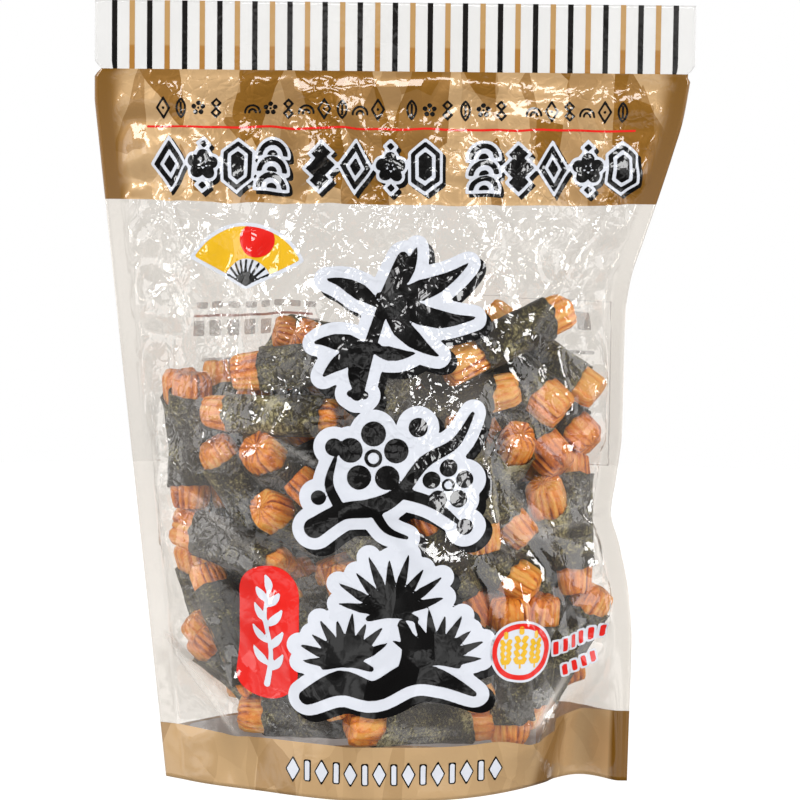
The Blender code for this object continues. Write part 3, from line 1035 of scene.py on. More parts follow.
def crest_row(x, z, groups, pitch, middle, crest):
    """Crests along a line, in groups of (left edge in mm, count). crest gives a crest's outline
    from its number and from u and v, in mm from its middle."""
    v = (z - middle) / MM
    places = [(start, k) for start, count in groups for k in range(count)]
    return union(crest(number, x / MM - start - (k + 0.5) * pitch / MM, v) * MM
                 for number, (start, k) in enumerate(places))


def petals(u, v, reach, radius):
    """Five round petals, their middles at a reach from the flower's."""
    turns = [math.radians(90 + 72 * k) for k in range(5)]
    return union(np.hypot(u - reach * math.cos(turn), v - reach * math.sin(turn)) - radius
                 for turn in turns)


def line_crest(number, u, v):
    """Small thin-line motifs: lozenge, blossom, wave, leaf and linked lozenges."""
    kind = (number * 3 + number // 5) % 5
    if kind == 0:
        shape = np.abs((np.abs(u) * 1.6 + np.abs(v) - 2.9) * 0.55)
        shape = np.minimum(shape, np.hypot(u, v) - 0.1)
    elif kind == 1:
        shape = np.minimum(np.hypot(u, v) - 0.05, petals(u, v, 1.45, 0.4))
    elif kind == 2:
        radius = np.hypot(u, v + 1.3)
        shape = np.minimum(np.abs(radius - 2.2), np.abs(radius - 1.0))
        shape = np.maximum(shape, -(v + 1.3))
    elif kind == 3:
        shape = np.minimum(np.abs(np.hypot(np.abs(u) + 2.2, v) - 3.5),
                           np.maximum(np.abs(u), np.abs(v) - 1.5))
    else:
        shape = np.abs(np.abs(u) + np.abs(np.abs(v) - 1.4) - 1.25) * 0.7
    return shape - 0.32


LINE_GROUPS = ((-72, 4), (-45, 8), (2.5, 6), (39, 6))
LINE_PITCH = 5.35 * MM
LINE_MIDDLE = 203.9 * MM


def line_motifs(x, z):
    return crest_row(x, z, LINE_GROUPS, LINE_PITCH, LINE_MIDDLE, line_crest)


def ringed(outline, band, gap):
    """A band round a shape, and the shape again inside it, a gap further in."""
    return np.minimum(np.maximum(outline, -(outline + band)), outline + gap)


def title_crest(number, u, v):
    """Bold crests of old textile patterns: lozenges, plum blossom, tortoiseshell, waves and pine
    bark."""
    kind = number % 5
    if kind == 0:
        return ringed((np.abs(u) * 1.55 + np.abs(v) - 7.0) * 0.6, 1.5, 2.6)
    if kind == 1:
        buds = (np.abs(u) + np.abs(np.abs(v) - 6.1) - 1.2) * 0.7
        return union((np.hypot(u, v) - 0.8, petals(u, v, 2.75, 1.75), buds))
    if kind == 2:
        return ringed(np.maximum(np.abs(u) - 4.3, (np.abs(u) * 0.75 + np.abs(v) - 7.2) * 0.8), 1.3, 2.4)
    if kind == 3:
        waves = []
        for foot in (-6.6, -1.9, 2.8):
            radius = np.hypot(u, v - foot)
            arc = np.minimum(np.abs(radius - 3.7) - 0.75, radius - 1.5)
            waves.append(np.maximum(arc, foot - v))
        return union(waves)
    return union((np.abs(u) + np.abs(v - middle) - size) * 0.7
                 for middle, size in ((0.0, 4.5), (-4.1, 2.9), (4.1, 2.9)))


TITLE_GROUPS = ((-72.5, 4), (-27.0, 4), (21.5, 5))
TITLE_PITCH = 10.4 * MM
TITLE_MIDDLE = 187.2 * MM


def title(x, z):
    return crest_row(x, z, TITLE_GROUPS, TITLE_PITCH, TITLE_MIDDLE, title_crest)


def brush(x, z, points, widths, steps=6):
    """A stroke along a smooth curve through points, in mm, with a half width at each."""
    points = [points[0], *points, points[-1]]
    places, sizes = [], []
    for k in range(1, len(points) - 2):
        for step in range(steps + (k == len(points) - 3)):
            t = step / steps
            places.append([0.5 * MM * (2 * b + (c - a) * t + (2 * a - 5 * b + 4 * c - d) * t * t
                                       + (3 * b - a - 3 * c + d) * t**3)
                           for a, b, c, d in zip(*points[k - 1:k + 3])])
            sizes.append((widths[k - 1] * (1 - t) + widths[min(k, len(widths) - 1)] * t) * MM)
    return stroke(x, z, places, sizes)


def leaf(x, z, base, angle, length, width, curl=0.35):
    """A brushed leaf, in mm and degrees: thin at its base, full near it, and long pointed."""
    points, widths = [], []
    for k, full in enumerate((0.12, 0.72, 1.0, 0.86, 0.5, 0.06)):
        t = k / 5
        turn = math.radians(angle) + curl * (t - 0.3)
        points.append((base[0] + length * t * math.cos(turn), base[1] + length * t * math.sin(turn)))
        widths.append(width * full)
    return brush(x, z, points, widths, 5)


def bamboo(x, z):
    """A jointed cane with two sprays of heavy leaves."""
    parts = []
    for low, high in (((-10, 121.5), (-7, 133)), ((-6.4, 135.4), (-2.6, 147.5)),
                      ((-1.8, 150), (3, 161))):
        joint = [(low[0] - 2.0, low[1] + 0.2), (low[0] + 2.2, low[1] - 0.3)]
        parts += [brush(x, z, [low, high], [1.9, 1.6], 1), brush(x, z, joint, [1.0, 1.2], 1)]
    leaves = (((-1, 150), 8, 25, 3.0), ((-1, 149), -26, 26, 3.2), ((-2, 148), -58, 22, 2.9),
              ((-1, 151), 44, 15, 2.2), ((-7, 134), 158, 16, 2.7), ((-7, 134), 196, 15, 2.6),
              ((-8, 133), 236, 10, 2.2), ((-4, 147), 140, 17, 2.4), ((-6, 135), -20, 13, 2.1))
    return union([*parts, *(leaf(x, z, *sizes) for sizes in leaves)])


def blossom(x, z, cx, cz, size):
    """Five round petals about a small ring, in mm."""
    u, v = x / MM - cx, z / MM - cz
    ring = np.abs(np.hypot(u, v) - 0.30 * size) - 0.07 * size
    return np.minimum(ring, petals(u, v, 0.98 * size, 0.50 * size)) * MM


def plum(x, z):
    """A plum twig with two blossoms and buds."""
    twigs = (([(-22, 82), (-14, 87), (-5, 88.5), (3, 93), (10, 102), (19, 107.5), (24, 116)],
              [3.0, 2.4, 2.8, 2.0, 1.9, 1.5, 0.5]),
             ([(-14, 87), (-18, 95), (-16, 103)], [1.6, 1.3, 0.5]),
             ([(3, 93), (12, 90), (20, 84)], [1.8, 1.5, 0.6]),
             ([(-5, 88.5), (-1, 82), (5, 79.5)], [1.6, 1.2, 0.5]))
    buds = ((-16.5, 106, 2.6), (8, 112, 2.8), (22, 82.5, 2.4), (-21, 91, 2.2))
    return union([*(brush(x, z, *twig) for twig in twigs),
                  blossom(x, z, -5, 103, 7.2), blossom(x, z, 17, 95, 5.2),
                  *(blob(x, z, cx * MM, cz * MM, size * MM) for cx, cz, size in buds)])


def pine(x, z):
    """A leaning pine trunk with three fans of needles."""
    strokes = [([(-24, 31), (-14, 36), (-4, 34), (6, 39), (15, 38), (25, 33)],
                [2.2, 3.8, 3.0, 3.4, 2.6, 0.8]),
               ([(5.5, 39), (6.5, 46), (4, 54)], [3.2, 2.6, 1.3])]
    for cx, cz, reach, tilt in ((-12, 42, 15, 14), (13.5, 43, 15.5, -12), (1, 57, 18, 4)):
        for k in range(9):
            turn = math.radians(90 + tilt + (k - 4) * 19)
            size = reach * (1.0 if k % 2 else 0.88)
            needle = [(cx + part * math.cos(turn), cz + part * math.sin(turn))
                      for part in (1.5, size * 0.6, size)]
            strokes.append((needle, [1.0, 1.35, 0.15], 2))
        strokes.append(([(cx - 7, cz - 1.5), (cx, cz + 0.6), (cx + 7, cz - 1.5)], [0.8, 1.9, 0.8]))
    return union(brush(x, z, *parts) for parts in strokes)


def brush_ornaments(x, z):
    """Bamboo, plum and pine, one over another in heavy brush strokes."""
    return union((bamboo(x, z), plum(x, z), pine(x, z)))


def shifted(distance, grow, dx=0.0, dz=0.0):
    """The same shape, grown and moved."""
    return lambda x, z: distance(x - dx, z - dz) - grow


FAN_CENTRE = (-43.0 * MM, 152.0 * MM)
FAN_RADIUS = 17.5 * MM
FAN_INNER = 8 * MM            # where the leaf ends and the bare ribs begin
FAN_HALF_ANGLE = 1.08


def fan(x, z, inner=FAN_INNER):
    """A folding fan's leaf, from an inner radius out."""
    u, v = x - FAN_CENTRE[0], z - FAN_CENTRE[1]
    radius = np.hypot(u, v)
    side = (np.abs(np.arctan2(u, v)) - FAN_HALF_ANGLE) * radius
    return np.maximum(np.maximum(inner - radius, radius - FAN_RADIUS), side)


def fan_sun(x, z):
    """A round sun near the top of the fan's leaf."""
    return np.maximum(blob(x, z, FAN_CENTRE[0] + 3 * MM, FAN_CENTRE[1] + 13.5 * MM, 5.2 * MM),
                      fan(x, z))


def fan_ribs(x, z):
    """The ribs that show below the fan's leaf."""
    u, v = x - FAN_CENTRE[0], z - FAN_CENTRE[1]
    radius, angle = np.hypot(u, v), np.arctan2(u, v)
    step = 2 * FAN_HALF_ANGLE / 8
    off = np.abs((angle + FAN_HALF_ANGLE + step / 2) % step - step / 2) * radius
    side = (np.abs(angle) - FAN_HALF_ANGLE - 0.04) * radius
    return np.maximum(np.maximum(off - 0.35 * MM, radius - FAN_INNER), side)


SEAL_BOX = (-35.4 * MM, 49.6 * MM, 9.0 * MM, 20.4 * MM)


def red_seal(x, z):
    cx, cz, half_width, half_height = SEAL_BOX
    return bar(x, z, cx, cz, half_width, half_height, 0.0, half_width)


def seal_sprig(x, z):
    """A white sprig of paired leaves up the red seal."""
    cx, cz = SEAL_BOX[0] / MM, SEAL_BOX[1] / MM
    stem = [(cx - 0.6, cz - 16), (cx + 0.7, cz - 6), (cx - 0.5, cz + 5), (cx + 0.2, cz + 13)]
    leaves = [((cx, cz + up + lift), 90 - way * 52, size, 1.25, 0.3 * way)
              for up, size in ((-11.5, 7.4), (-4.5, 7.2), (2.5, 6.6), (8.5, 5.2))
              for way, lift in ((1, 0.0), (-1, 1.6))]
    leaves.append(((cx + 0.2, cz + 12), 88, 6, 1.1))
    return union([brush(x, z, stem, [0.9, 0.7, 0.6, 0.3]), *(leaf(x, z, *sizes) for sizes in leaves)])


ROUNDEL = (38.8 * MM, 44.7 * MM)
ROUNDEL_RADIUS = 9.2 * MM


def roundel(x, z):
    return blob(x, z, *ROUNDEL, ROUNDEL_RADIUS)


def roundel_ring(x, z):
    return np.abs(blob(x, z, *ROUNDEL, 7.7 * MM)) - 0.75 * MM


def grain_ears(x, z):
    """Three ears of grain: a stem each with paired kernels and one on top."""
    bars = []
    for k in (-1, 0, 1):
        cx, foot = ROUNDEL[0] / MM + 4.1 * k, ROUNDEL[1] / MM - 4.8
        pitch = 2.15 if k == 0 else 1.8
        bars.append((cx, foot + 1.2, 0.25, 1.4))
        bars += [(cx + way * 0.92, foot + 2.2 + row * pitch, 0.66, 1.15, -way * 0.45, 0.66)
                 for row in range(4) for way in (-1, 1)]
        bars.append((cx, foot + 2.6 + 4 * pitch, 0.62, 1.2, 0.0, 0.62))
    return bars_in_mm(x, z, bars)


def corner_dashes(x, z):
    """Two rising rows of plain dashes beside the roundel."""
    return bars_in_mm(x, z, [
        (start + 2.8 * k, foot + 2.8 * k * rise, 0.75, half, 0.12)
        for start, foot, rise, count, half in ((49.6, 44.6, 0.24, 6, 2.0), (53.0, 37.6, 0.30, 4, 1.6))
        for k in range(count)])


FOOT_ROW = (2.0, 8.3)         # middle of the row, in mm


def foot_row(x, z):
    """A plain row of small lozenges and upright bars on the lower band."""
    u, v = x / MM - FOOT_ROW[0], z / MM - FOOT_ROW[1]
    bars = bars_in_mm(x, z, [(FOOT_ROW[0] + 4.3 * k, FOOT_ROW[1], 0.7, 3.0) for k in range(-6, 7, 2)])
    lozenges = union((np.abs(u - 4.3 * k) * 1.9 + np.abs(v) - 3.4) * 0.5 for k in range(-7, 8, 2))
    return np.minimum(bars, lozenges * MM)


def back_notes(x, z):
    """Small plain rules and boxes of the back panel's notes, one group in a thin frame."""
    bars = [(-59 + 5.0 * k, 136.6, 1.7, 2.4) for k in range(8)]
    bars += [(-58 + 4.7 * k, 143.6, 1.6, 1.0) for k in range(8)]
    bars += [(58 - 6.2 * k, 140.5, 2.1, 2.8) for k in range(5)]
    for row in range(6):
        wide = 14 - 2 * (row % 3)
        bars += [(-44, 127 - 4.2 * row, wide, 0.55), (50, 131 - 4.2 * row, 0.75 * wide, 0.55)]
    outline = np.abs(bar(x, z, 42 * MM, 122 * MM, 24 * MM, 25 * MM)) - 0.25 * MM
    return np.minimum(bars_in_mm(x, z, bars), outline)


def gold_bands(x, z):
    """The gold fields of both panels, backed with white inside."""
    side = edge_distance(x, z)
    upper = np.maximum(UPPER_BAND_LOW - z, z - SHOULDER + 14 * MM)
    lower = np.maximum(np.maximum(z - LOWER_BAND_HIGH, 3 * MM - z), x - CORNER_BAND_SIDE + 6 * MM)
    return np.maximum(np.minimum(upper, lower) + 0.6 * MM, 1.5 * SIDE_SEAL - side)


BRUSH_EDGE = 3.45 * MM        # wide enough to leave no gaps between the pine's needles
BRUSH_SHADOW = 1.9 * MM       # how far the shadow lies to the right and down


def build_print(inks):
    """All inks on both panels, one piece for each colour and layer."""
    first, second, third = LIFTS
    header_box = (-95 * MM, SHOULDER, 95 * MM, HEIGHT)
    band_box = (-76 * MM, 176 * MM, 78 * MM, 208 * MM)
    brush_box = (-32 * MM, 22 * MM, 36 * MM, 172 * MM)
    fan_box = (-64 * MM, 144 * MM, -22 * MM, 174 * MM)
    corner_box = (28 * MM, 32 * MM, 68 * MM, 56 * MM)
    seal_area = (-46 * MM, 27 * MM, -24 * MM, 72 * MM)
    foot_box = (-34 * MM, 2 * MM, 38 * MM, 14 * MM)
    back_box = (-66 * MM, 96 * MM, 68 * MM, 150 * MM)
    whole = (-95 * MM, 0, 95 * MM, SHOULDER)
    jobs = (
        ("front_backing", -1, whole, gold_bands, -first, "white"),
        ("back_backing", 1, whole, gold_bands, -first, "white"),
        *((f"{panel}_stripes_{ink_name}", side, header_box, functools.partial(stripes, first=start),
           first, colour)
          for panel, side in (("header", -1), ("back", 1))
          for start, ink_name, colour in ((0, "black", "stripe"), (1, "gold", "gold"))),
        ("line_motifs", -1, band_box, line_motifs, first, "black"),
        ("red_rule", -1, band_box,
         lambda x, z: bar(x, z, -0.8 * MM, 198.4 * MM, 73.6 * MM, 0.36 * MM), first, "red"),
        ("title_shadow", -1, band_box, shifted(title, 0.9 * MM, 1.0 * MM, -1.0 * MM), first, "black"),
        ("title_edge", -1, band_box, shifted(title, 0.9 * MM), second, "white"),
        ("title_crests", -1, band_box, title, third, "black"),
        ("brush_shadow", -1, brush_box,
         shifted(brush_ornaments, BRUSH_EDGE, BRUSH_SHADOW, -BRUSH_SHADOW), first, "black"),
        ("brush_edge", -1, brush_box, shifted(brush_ornaments, BRUSH_EDGE), second, "white"),
        ("brush_strokes", -1, brush_box, brush_ornaments, third, "black"),
        ("fan_edge", -1, fan_box, lambda x, z: fan(x, z, -1 * MM) - 1.1 * MM, first, "white"),
        ("fan_leaf", -1, fan_box, fan, second, "yellow"),
        ("fan_sun", -1, fan_box, fan_sun, third, "red"),
        ("fan_ribs", -1, fan_box, fan_ribs, second, "black"),
        ("red_seal", -1, seal_area, red_seal, first, "red"),
        ("seal_sprig", -1, seal_area, seal_sprig, second, "white"),
        ("roundel_ground", -1, corner_box, roundel, second, "white"),
        ("roundel_ring", -1, corner_box, roundel_ring, third, "red"),
        ("grain_ears", -1, corner_box, grain_ears, third, "yellow"),
        ("dashes_edge", -1, corner_box, shifted(corner_dashes, 0.6 * MM), first, "white"),
        ("corner_dashes", -1, corner_box, corner_dashes, second, "red"),
        ("foot_row_edge", -1, foot_box, shifted(foot_row, 0.4 * MM), first, "black"),
        ("foot_row", -1, foot_box, foot_row, second, "white"),
        ("back_notes", 1, back_box, back_notes, first, "grey"),
        ("back_rule", 1, back_box,
         lambda x, z: bar(x, z, -42.5 * MM, 140.4 * MM, 18 * MM, 0.4 * MM), first, "rose"),
    )
    fine = {"front_backing": 1, "back_backing": 1, "grain_ears": 5, "line_motifs": 4, "title_crests": 3}
    for name, side, box, distance, lift, colour in jobs:
        steps = fine.get(name, 3 if "stripes" in name else 2)
        piece = print_mesh(name, side, box, distance, lift, steps)
        finish_piece(piece, SLOTS[colour], inks[colour])


SLOTS = {
    "gold": "film_gold", "stripe": "print_black", "white": "print_white", "black": "print_black",
    "red": "print_red", "yellow": "print_yellow", "grey": "print_grey", "rose": "print_red",
}


# =============================== the rolls ===============================

ROD_SIDES = 60


def rod_master(settings):
    """One cracker, modelled once: a cylinder cut into rings, close together near its ends, with
    each flat end inset into two more rings."""
    deselect_all()
    bpy.ops.mesh.primitive_cylinder_add(vertices=ROD_SIDES, radius=settings.roll_radius,
                                        depth=settings.roll_length, end_fill_type="NGON")
    rod = bpy.context.object
    half = settings.roll_length / 2
    bpy.ops.object.mode_set(mode="EDIT")
    for share in (0.975, 0.92, 0.83, 0.70, 0.52):
        for place in (-half * share, half * share):
            bpy.ops.mesh.select_all(action="SELECT")
            bpy.ops.mesh.bisect(plane_co=(0, 0, place), plane_no=(0, 0, 1))
    bpy.ops.object.mode_set(mode="OBJECT")
    for polygon in rod.data.polygons:
        polygon.select = abs(polygon.normal.z) > 0.9
    bpy.ops.object.mode_set(mode="EDIT")
    bpy.ops.mesh.inset(thickness=0.3 * settings.roll_radius, use_individual=True)
    bpy.ops.mesh.inset(thickness=0.35 * settings.roll_radius, use_individual=True)
    bpy.ops.mesh.poke()
    bpy.ops.object.mode_set(mode="OBJECT")
    return rod


class RollForm:
    """One roll's own unevenness, shared by the cracker and the sheet round it."""

    def __init__(self, rng, settings):
        self.radius = settings.roll_radius * rng.uniform(0.92, 1.07)
        self.half = settings.roll_length / 2 * rng.uniform(0.93, 1.06)
        self.ridges = int(rng.integers(13, 18))
        self.phase = rng.uniform(0, 6.28)
        self.twist = rng.uniform(-40, 40)
        self.flat = rng.uniform(0.02, 0.09)
        self.bend = rng.uniform(-0.9, 0.9) * MM
        count = int(rng.integers(6, 9))
        ways = (np.arange(count) + rng.uniform(-0.3, 0.3, count)) * 2 * math.pi / count
        self.flats = list(zip(ways, rng.uniform(0.84, 0.97, count)))
        self.cuts = rng.uniform((0.0, 0.50, 0.55), (6.28, 0.85, 0.95), (2, 4, 3))
        self.waves = [(int(rng.integers(1, 5)), rng.uniform(20, 150), rng.uniform(0, 6.28),
                       rng.uniform(0.4, 1.0)) for _ in range(5)]

    def noise(self, angle, z, stretch=1.0):
        total = sum(size * np.sin(k * angle + m * stretch * z + start)
                    for k, m, start, size in self.waves)
        return total / math.sqrt(len(self.waves))

    def hull(self, angle, z):
        """Radius over the ridges: a round bar with flats pressed along it."""
        round_bar = 1.0 + self.flat * np.cos(2 * angle + 1.7 * self.phase)
        flats = [reach / np.maximum(np.cos(angle - way), 0.3) for way, reach in self.flats]
        bar_radius = self.radius * np.minimum(round_bar, np.min(flats, axis=0))
        return bar_radius + 0.16 * MM * self.noise(angle, z)

    def cut_ends(self, radius, angle, z):
        """Radius where both ends are broken off slantwise all round."""
        for side, cuts in zip((-1, 1), self.cuts):
            for way, reach, tilt in cuts:
                room = reach * self.radius + np.maximum(self.half - side * z, 0) * math.tan(tilt)
                radius = np.minimum(radius, room / np.maximum(np.cos(angle - way), 0.25))
        return radius

    def ridge(self, angle, z):
        """1 on a ridge and -1 in a groove; two sets of ridges make them uneven."""
        wobble = 0.5 * np.sin(2 * angle + self.phase) + 0.3 * self.noise(angle, z, 2.0)
        return (0.65 * np.cos(self.ridges * angle + wobble + self.twist * z)
                + 0.35 * np.cos((self.ridges - 5) * angle + 2 * wobble - self.twist * z + self.phase))

    def bent(self, radius, angle, z):
        """Points of the slightly bent roll."""
        sag = self.bend * ((z / self.half) ** 2 - 0.3)
        return np.stack([radius * np.cos(angle) + sag, radius * np.sin(angle), z], -1)


def shape_cracker(co, form, rng, settings):
    """Ridges, rounded ends and unevenness for one copy. Returns its points and how toasted
    each is."""
    angle = np.arctan2(co[:, 1], co[:, 0])
    share = np.hypot(co[:, 0], co[:, 1]) / settings.roll_radius
    along = co[:, 2] / (settings.roll_length / 2)
    z = along * form.half
    end = np.clip((np.abs(z) - form.half + 2.4 * MM) / (2.4 * MM), 0, 1)
    wave = form.ridge(angle, z)
    patch = 0.55 + 0.45 * np.sin(2 * angle + 3 * form.phase + 130 * z)
    groove = np.clip(0.05 - wave, 0, None) ** 0.8 * patch
    taper = np.clip(np.abs(along) - 0.6, 0, None) * rng.uniform(0.05, 0.35)
    r = (form.hull(angle, z) - 1.2 * MM * groove) * (1 - 0.12 * end**2.5 - taper)
    r = form.cut_ends(r, angle, z) * share
    bulge = (1 - share**2) * rng.uniform(0.0, 0.5) * MM + 0.3 * MM * form.noise(angle, share * 0.02)
    z = z + np.where(np.abs(along) > 0.999, np.sign(z) * bulge, 0)
    toast = 0.55 * groove**1.5 + 0.08 * end + 0.14 * form.noise(angle, z, 1.6)
    return form.bent(r, angle, z), toast + rng.uniform(-0.20, 0.22)


def nori_sleeve(form, rng, settings):
    """One sheet of nori rolled once round a cracker, with an overlap: a thin shell as outer and
    inner layers of rows and columns."""
    around, rows = 40, 12
    u = np.linspace(0, 1, around)[None, :].repeat(rows, 0)
    v = np.linspace(-1, 1, rows)[:, None].repeat(around, 1)
    start = rng.uniform(0, 6.28)
    turn = start + 2 * math.pi * u * rng.uniform(1.05, 1.12)
    half = settings.nori_length / 2 * rng.uniform(0.90, 1.12)
    slant = rng.uniform(0.3, 2.0) * MM * np.cos(turn - start + rng.uniform(0, 6.28))
    ragged = 0.5 * MM * form.noise(2 * turn, 0.01) + 0.15 * MM * np.sin(11 * turn + start)
    z = v * (half + ragged) + slant * v + rng.uniform(-2.0, 2.0) * MM
    ripple = 0.22 * MM * np.sin(3 * turn + 420 * z + start) * np.sin(5 * turn - 260 * z)
    r = form.hull(turn, z) + 0.30 * MM + 0.35 * MM * u + 0.18 * MM * form.ridge(turn, z) + ripple
    r += np.abs(v) ** 8 * rng.uniform(0.0, 0.5) * MM
    return np.stack([form.bent(r - inset, turn, z) for inset in (0.0, 0.26 * MM)])


def shell_faces(rows, columns, start):
    """Faces of a two-layer grid, closed round its rim."""
    index = np.arange(2 * rows * columns).reshape(2, rows, columns) + start
    outer, inner = index
    a = np.stack([outer[:-1, :-1], outer[:-1, 1:], outer[1:, 1:], outer[1:, :-1]], -1).reshape(-1, 4)
    b = np.stack([inner[:-1, :-1], inner[1:, :-1], inner[1:, 1:], inner[:-1, 1:]], -1).reshape(-1, 4)
    rim_out = np.concatenate([outer[0, :-1], outer[:-1, -1], outer[-1, :0:-1], outer[:0:-1, 0]])
    rim_in = np.concatenate([inner[0, :-1], inner[:-1, -1], inner[-1, :0:-1], inner[:0:-1, 0]])
    rim = np.stack([np.roll(rim_out, -1), rim_out, rim_in, np.roll(rim_in, -1)], -1)
    return np.concatenate([a, b, rim])


# Rolls that show at the front: x and z of the end that shows, in mm, the way the roll runs from
# it in degrees, how steeply it runs to the back, and how deep its end lies behind the film.
FRONT_ROLLS = (
    (-60, 125, -92, 3, 0), (-49, 113, 60, 25, 9), (-45, 100, -42, 35, 2), (-37, 129, 28, 12, 0),
    (-32, 135, 3, 15, 12), (-17, 114, 178, 4, 0), (-28, 102, -40, 28, 4), (-35, 84, -36, 30, 2),
    (-56, 84, 100, 30, 7), (-66, 90, 85, 20, 12), (-64, 74, -80, 3, 0), (-52, 65, -72, 10, 2),
    (-42, 72, 160, 15, 9), (-19, 86, -47, 5, 3), (-53, 37, 75, 25, 4), (-36, 25, 5, 10, 0),
    (-22, 59, -85, 10, 3), (-23, 42, -80, 12, 9), (-9, 127, -30, 20, 6), (-1, 122, -60, 40, 8),
    (58, 118, 118, 4, 0), (52, 112, 125, 35, 4), (26, 117, 62, 15, 0), (43, 107, 110, 30, 8),
    (24, 72, 86, 3, 0), (45, 86, 122, 8, 2), (60, 102, 110, 20, 13), (53, 90, 90, 30, 9),
    (60, 79, 95, 25, 13), (40, 74, 170, 30, 3), (46, 63, 60, 30, 6), (16, 65, 100, 30, 8),
    (14, 77, 80, 30, 11), (36, 59, -45, 30, 5), (26, 55, -60, 30, 1), (55, 57, 95, 25, 9),
    (61, 59, 100, 25, 14), (60, 69, 165, 10, 5), (16, 24, 95, 25, 6), (32, 22, 116, 5, 0),
    (44, 23, 100, 12, 4), (47, 33, 150, 15, 7), (-9, 98, 70, 10, 2), (3, 107, 10, 20, 4),
    (-12, 71, 100, 15, 6), (3, 83, -20, 20, 4), (3, 53, 60, 20, 6), (-5, 32, 110, 15, 2),
    (9, 41, -30, 15, 5), (-41, 47, -70, 10, 8), (-13, 47, 100, 20, 10), (-47, 29, 20, 20, 9),
    (4, 20, 5, 8, 3),
)
ROLL_COUNT = 100
FREEDOM = np.array([0.45, 1.4, 0.45])    # rolls give way to the back rather than sideways
HEAP_TOP = ((-75, 122), (-62, 126), (-45, 128), (-32, 143), (-10, 138), (20, 140), (42, 150),
            (52, 148), (66, 122), (80, 110))    # x and height in mm
HEAP_FLOOR = 15.5 * MM
HEAP_GAP = 4 * MM             # room left between the heap and the left seal
CORNER_FOOT = 40 * MM         # the sealed corners slope from here, at the heap's floor ...
CORNER_RISE = 28 * MM         # ... up to the side seals this much higher


def closest_on_rods(p, d, q, e):
    """For rods p + s d and q + t e, with s and t from -1 to 1, the nearest s and t."""
    r = p - q
    a, b, c = (d * d).sum(-1), (e * e).sum(-1), (d * e).sum(-1)
    f, g = (d * r).sum(-1), (e * r).sum(-1)
    s = np.clip((c * g - b * f) / np.maximum(a * b - c * c, 1e-12), -1, 1)
    t = np.clip((c * s + g) / b, -1, 1)
    s = np.clip((c * t - f) / a, -1, 1)
    return s, t


def roll_way(turn, tilt):
    """The way a roll runs: its turn in the front view and how steeply it runs to the back."""
    return np.array([math.cos(turn) * math.cos(tilt), math.sin(tilt), math.sin(turn) * math.cos(tilt)])


def settle_rolls(settings):
    """Places of all rolls: the ones that show at the front are given one by one, the rest fall in
    behind them; then all are pushed apart and kept inside the film."""
    rng = np.random.default_rng(23)
    core = settings.roll_length / 2 - settings.roll_radius
    reach = settings.roll_radius * 1.09
    centres, ways, weight = [], [], []
    for x, z, angle, tilt, behind in FRONT_ROLLS:
        way = roll_way(math.radians(angle), math.radians(tilt))
        x, z = x * MM, z * MM
        depth = float(panel_depth(-1, np.array(x), np.array(z)))
        end = np.array([x, depth + reach + (0.5 + behind) * MM, z])
        centres.append(end + way * (settings.roll_length / 2 - 4 * MM))
        ways.append(way * core)
        weight.append(0.2 + 0.04 * behind)
    while len(centres) < ROLL_COUNT:
        way = roll_way(rng.uniform(0, math.pi), rng.normal(0, 0.35))
        centres.append(np.array([rng.uniform(-52, 52) * MM, rng.uniform(-6, 24) * MM,
                                 rng.uniform(18, 118) * MM]))
        ways.append(way * core)
        weight.append(1.0)
    centres, ways, weight = np.array(centres), np.array(ways), np.array(weight)
    first, second = np.triu_indices(len(centres), 1)
    for turn in range(260):
        s, t = closest_on_rods(centres[first], ways[first], centres[second], ways[second])
        gap = ((centres[second] + ways[second] * t[:, None])
               - (centres[first] + ways[first] * s[:, None]))
        distance = np.linalg.norm(gap, axis=-1)
        lack = 2 * reach * 0.94 - distance
        near = lack > 0
        normal = gap[near] / np.maximum(distance[near], 1e-6)[:, None]
        wa, wb = weight[first[near]], weight[second[near]]
        shove = normal * (0.5 * lack[near] / (wa + wb))[:, None]
        for index, sign, w, arm in ((first[near], -1, wa, s[near]), (second[near], 1, wb, t[near])):
            move = sign * shove * w[:, None] * FREEDOM
            np.add.at(centres, index, move)
            np.add.at(ways, index, move * arm[:, None] * 0.5)
        ways *= core / np.linalg.norm(ways, axis=-1, keepdims=True)
        keep_inside(centres, ways, reach)
        centres[:, 2] -= 0.05 * MM * (weight > 0.5)
    return centres, ways / core


def keep_inside(centres, ways, reach):
    """Moves rolls back between the panels, over the floor and under the heap's top."""
    for arm in (-1.0, 0.0, 1.0):
        tip = centres + arm * ways
        x, z = tip[:, 0], np.clip(tip[:, 2], 0, SHOULDER)
        low, high = left_edge(z) + SIDE_SEAL + HEAP_GAP, right_edge(z) - SIDE_SEAL
        rise = np.clip((z - HEAP_FLOOR) / CORNER_RISE, 0, 1)
        low = np.maximum(low, -CORNER_FOOT + (low + CORNER_FOOT) * rise)
        high = np.minimum(high, CORNER_FOOT + (high - CORNER_FOOT) * rise)
        move = np.zeros_like(tip)
        move[:, 0] = np.clip(low + reach - x, 0, None) - np.clip(x - high + reach, 0, None)
        inner = np.clip(x, low + reach * 0.6, high - reach * 0.6)
        front = panel_depth(-1, inner, z) + reach + 0.4 * MM
        back = panel_depth(1, inner, z) - reach - 0.4 * MM
        middle = 0.5 * (front + back)
        front, back = np.minimum(front, middle), np.maximum(back, middle)
        move[:, 1] = np.clip(front - tip[:, 1], 0, None) - np.clip(tip[:, 1] - back, 0, None)
        top = np.interp(x / MM, *np.array(HEAP_TOP).T) * MM - reach
        move[:, 2] = (np.clip(HEAP_FLOOR + reach - tip[:, 2], 0, None)
                      - np.clip(tip[:, 2] - top, 0, None))
        centres += 0.5 * move
        ways += 0.25 * arm * move


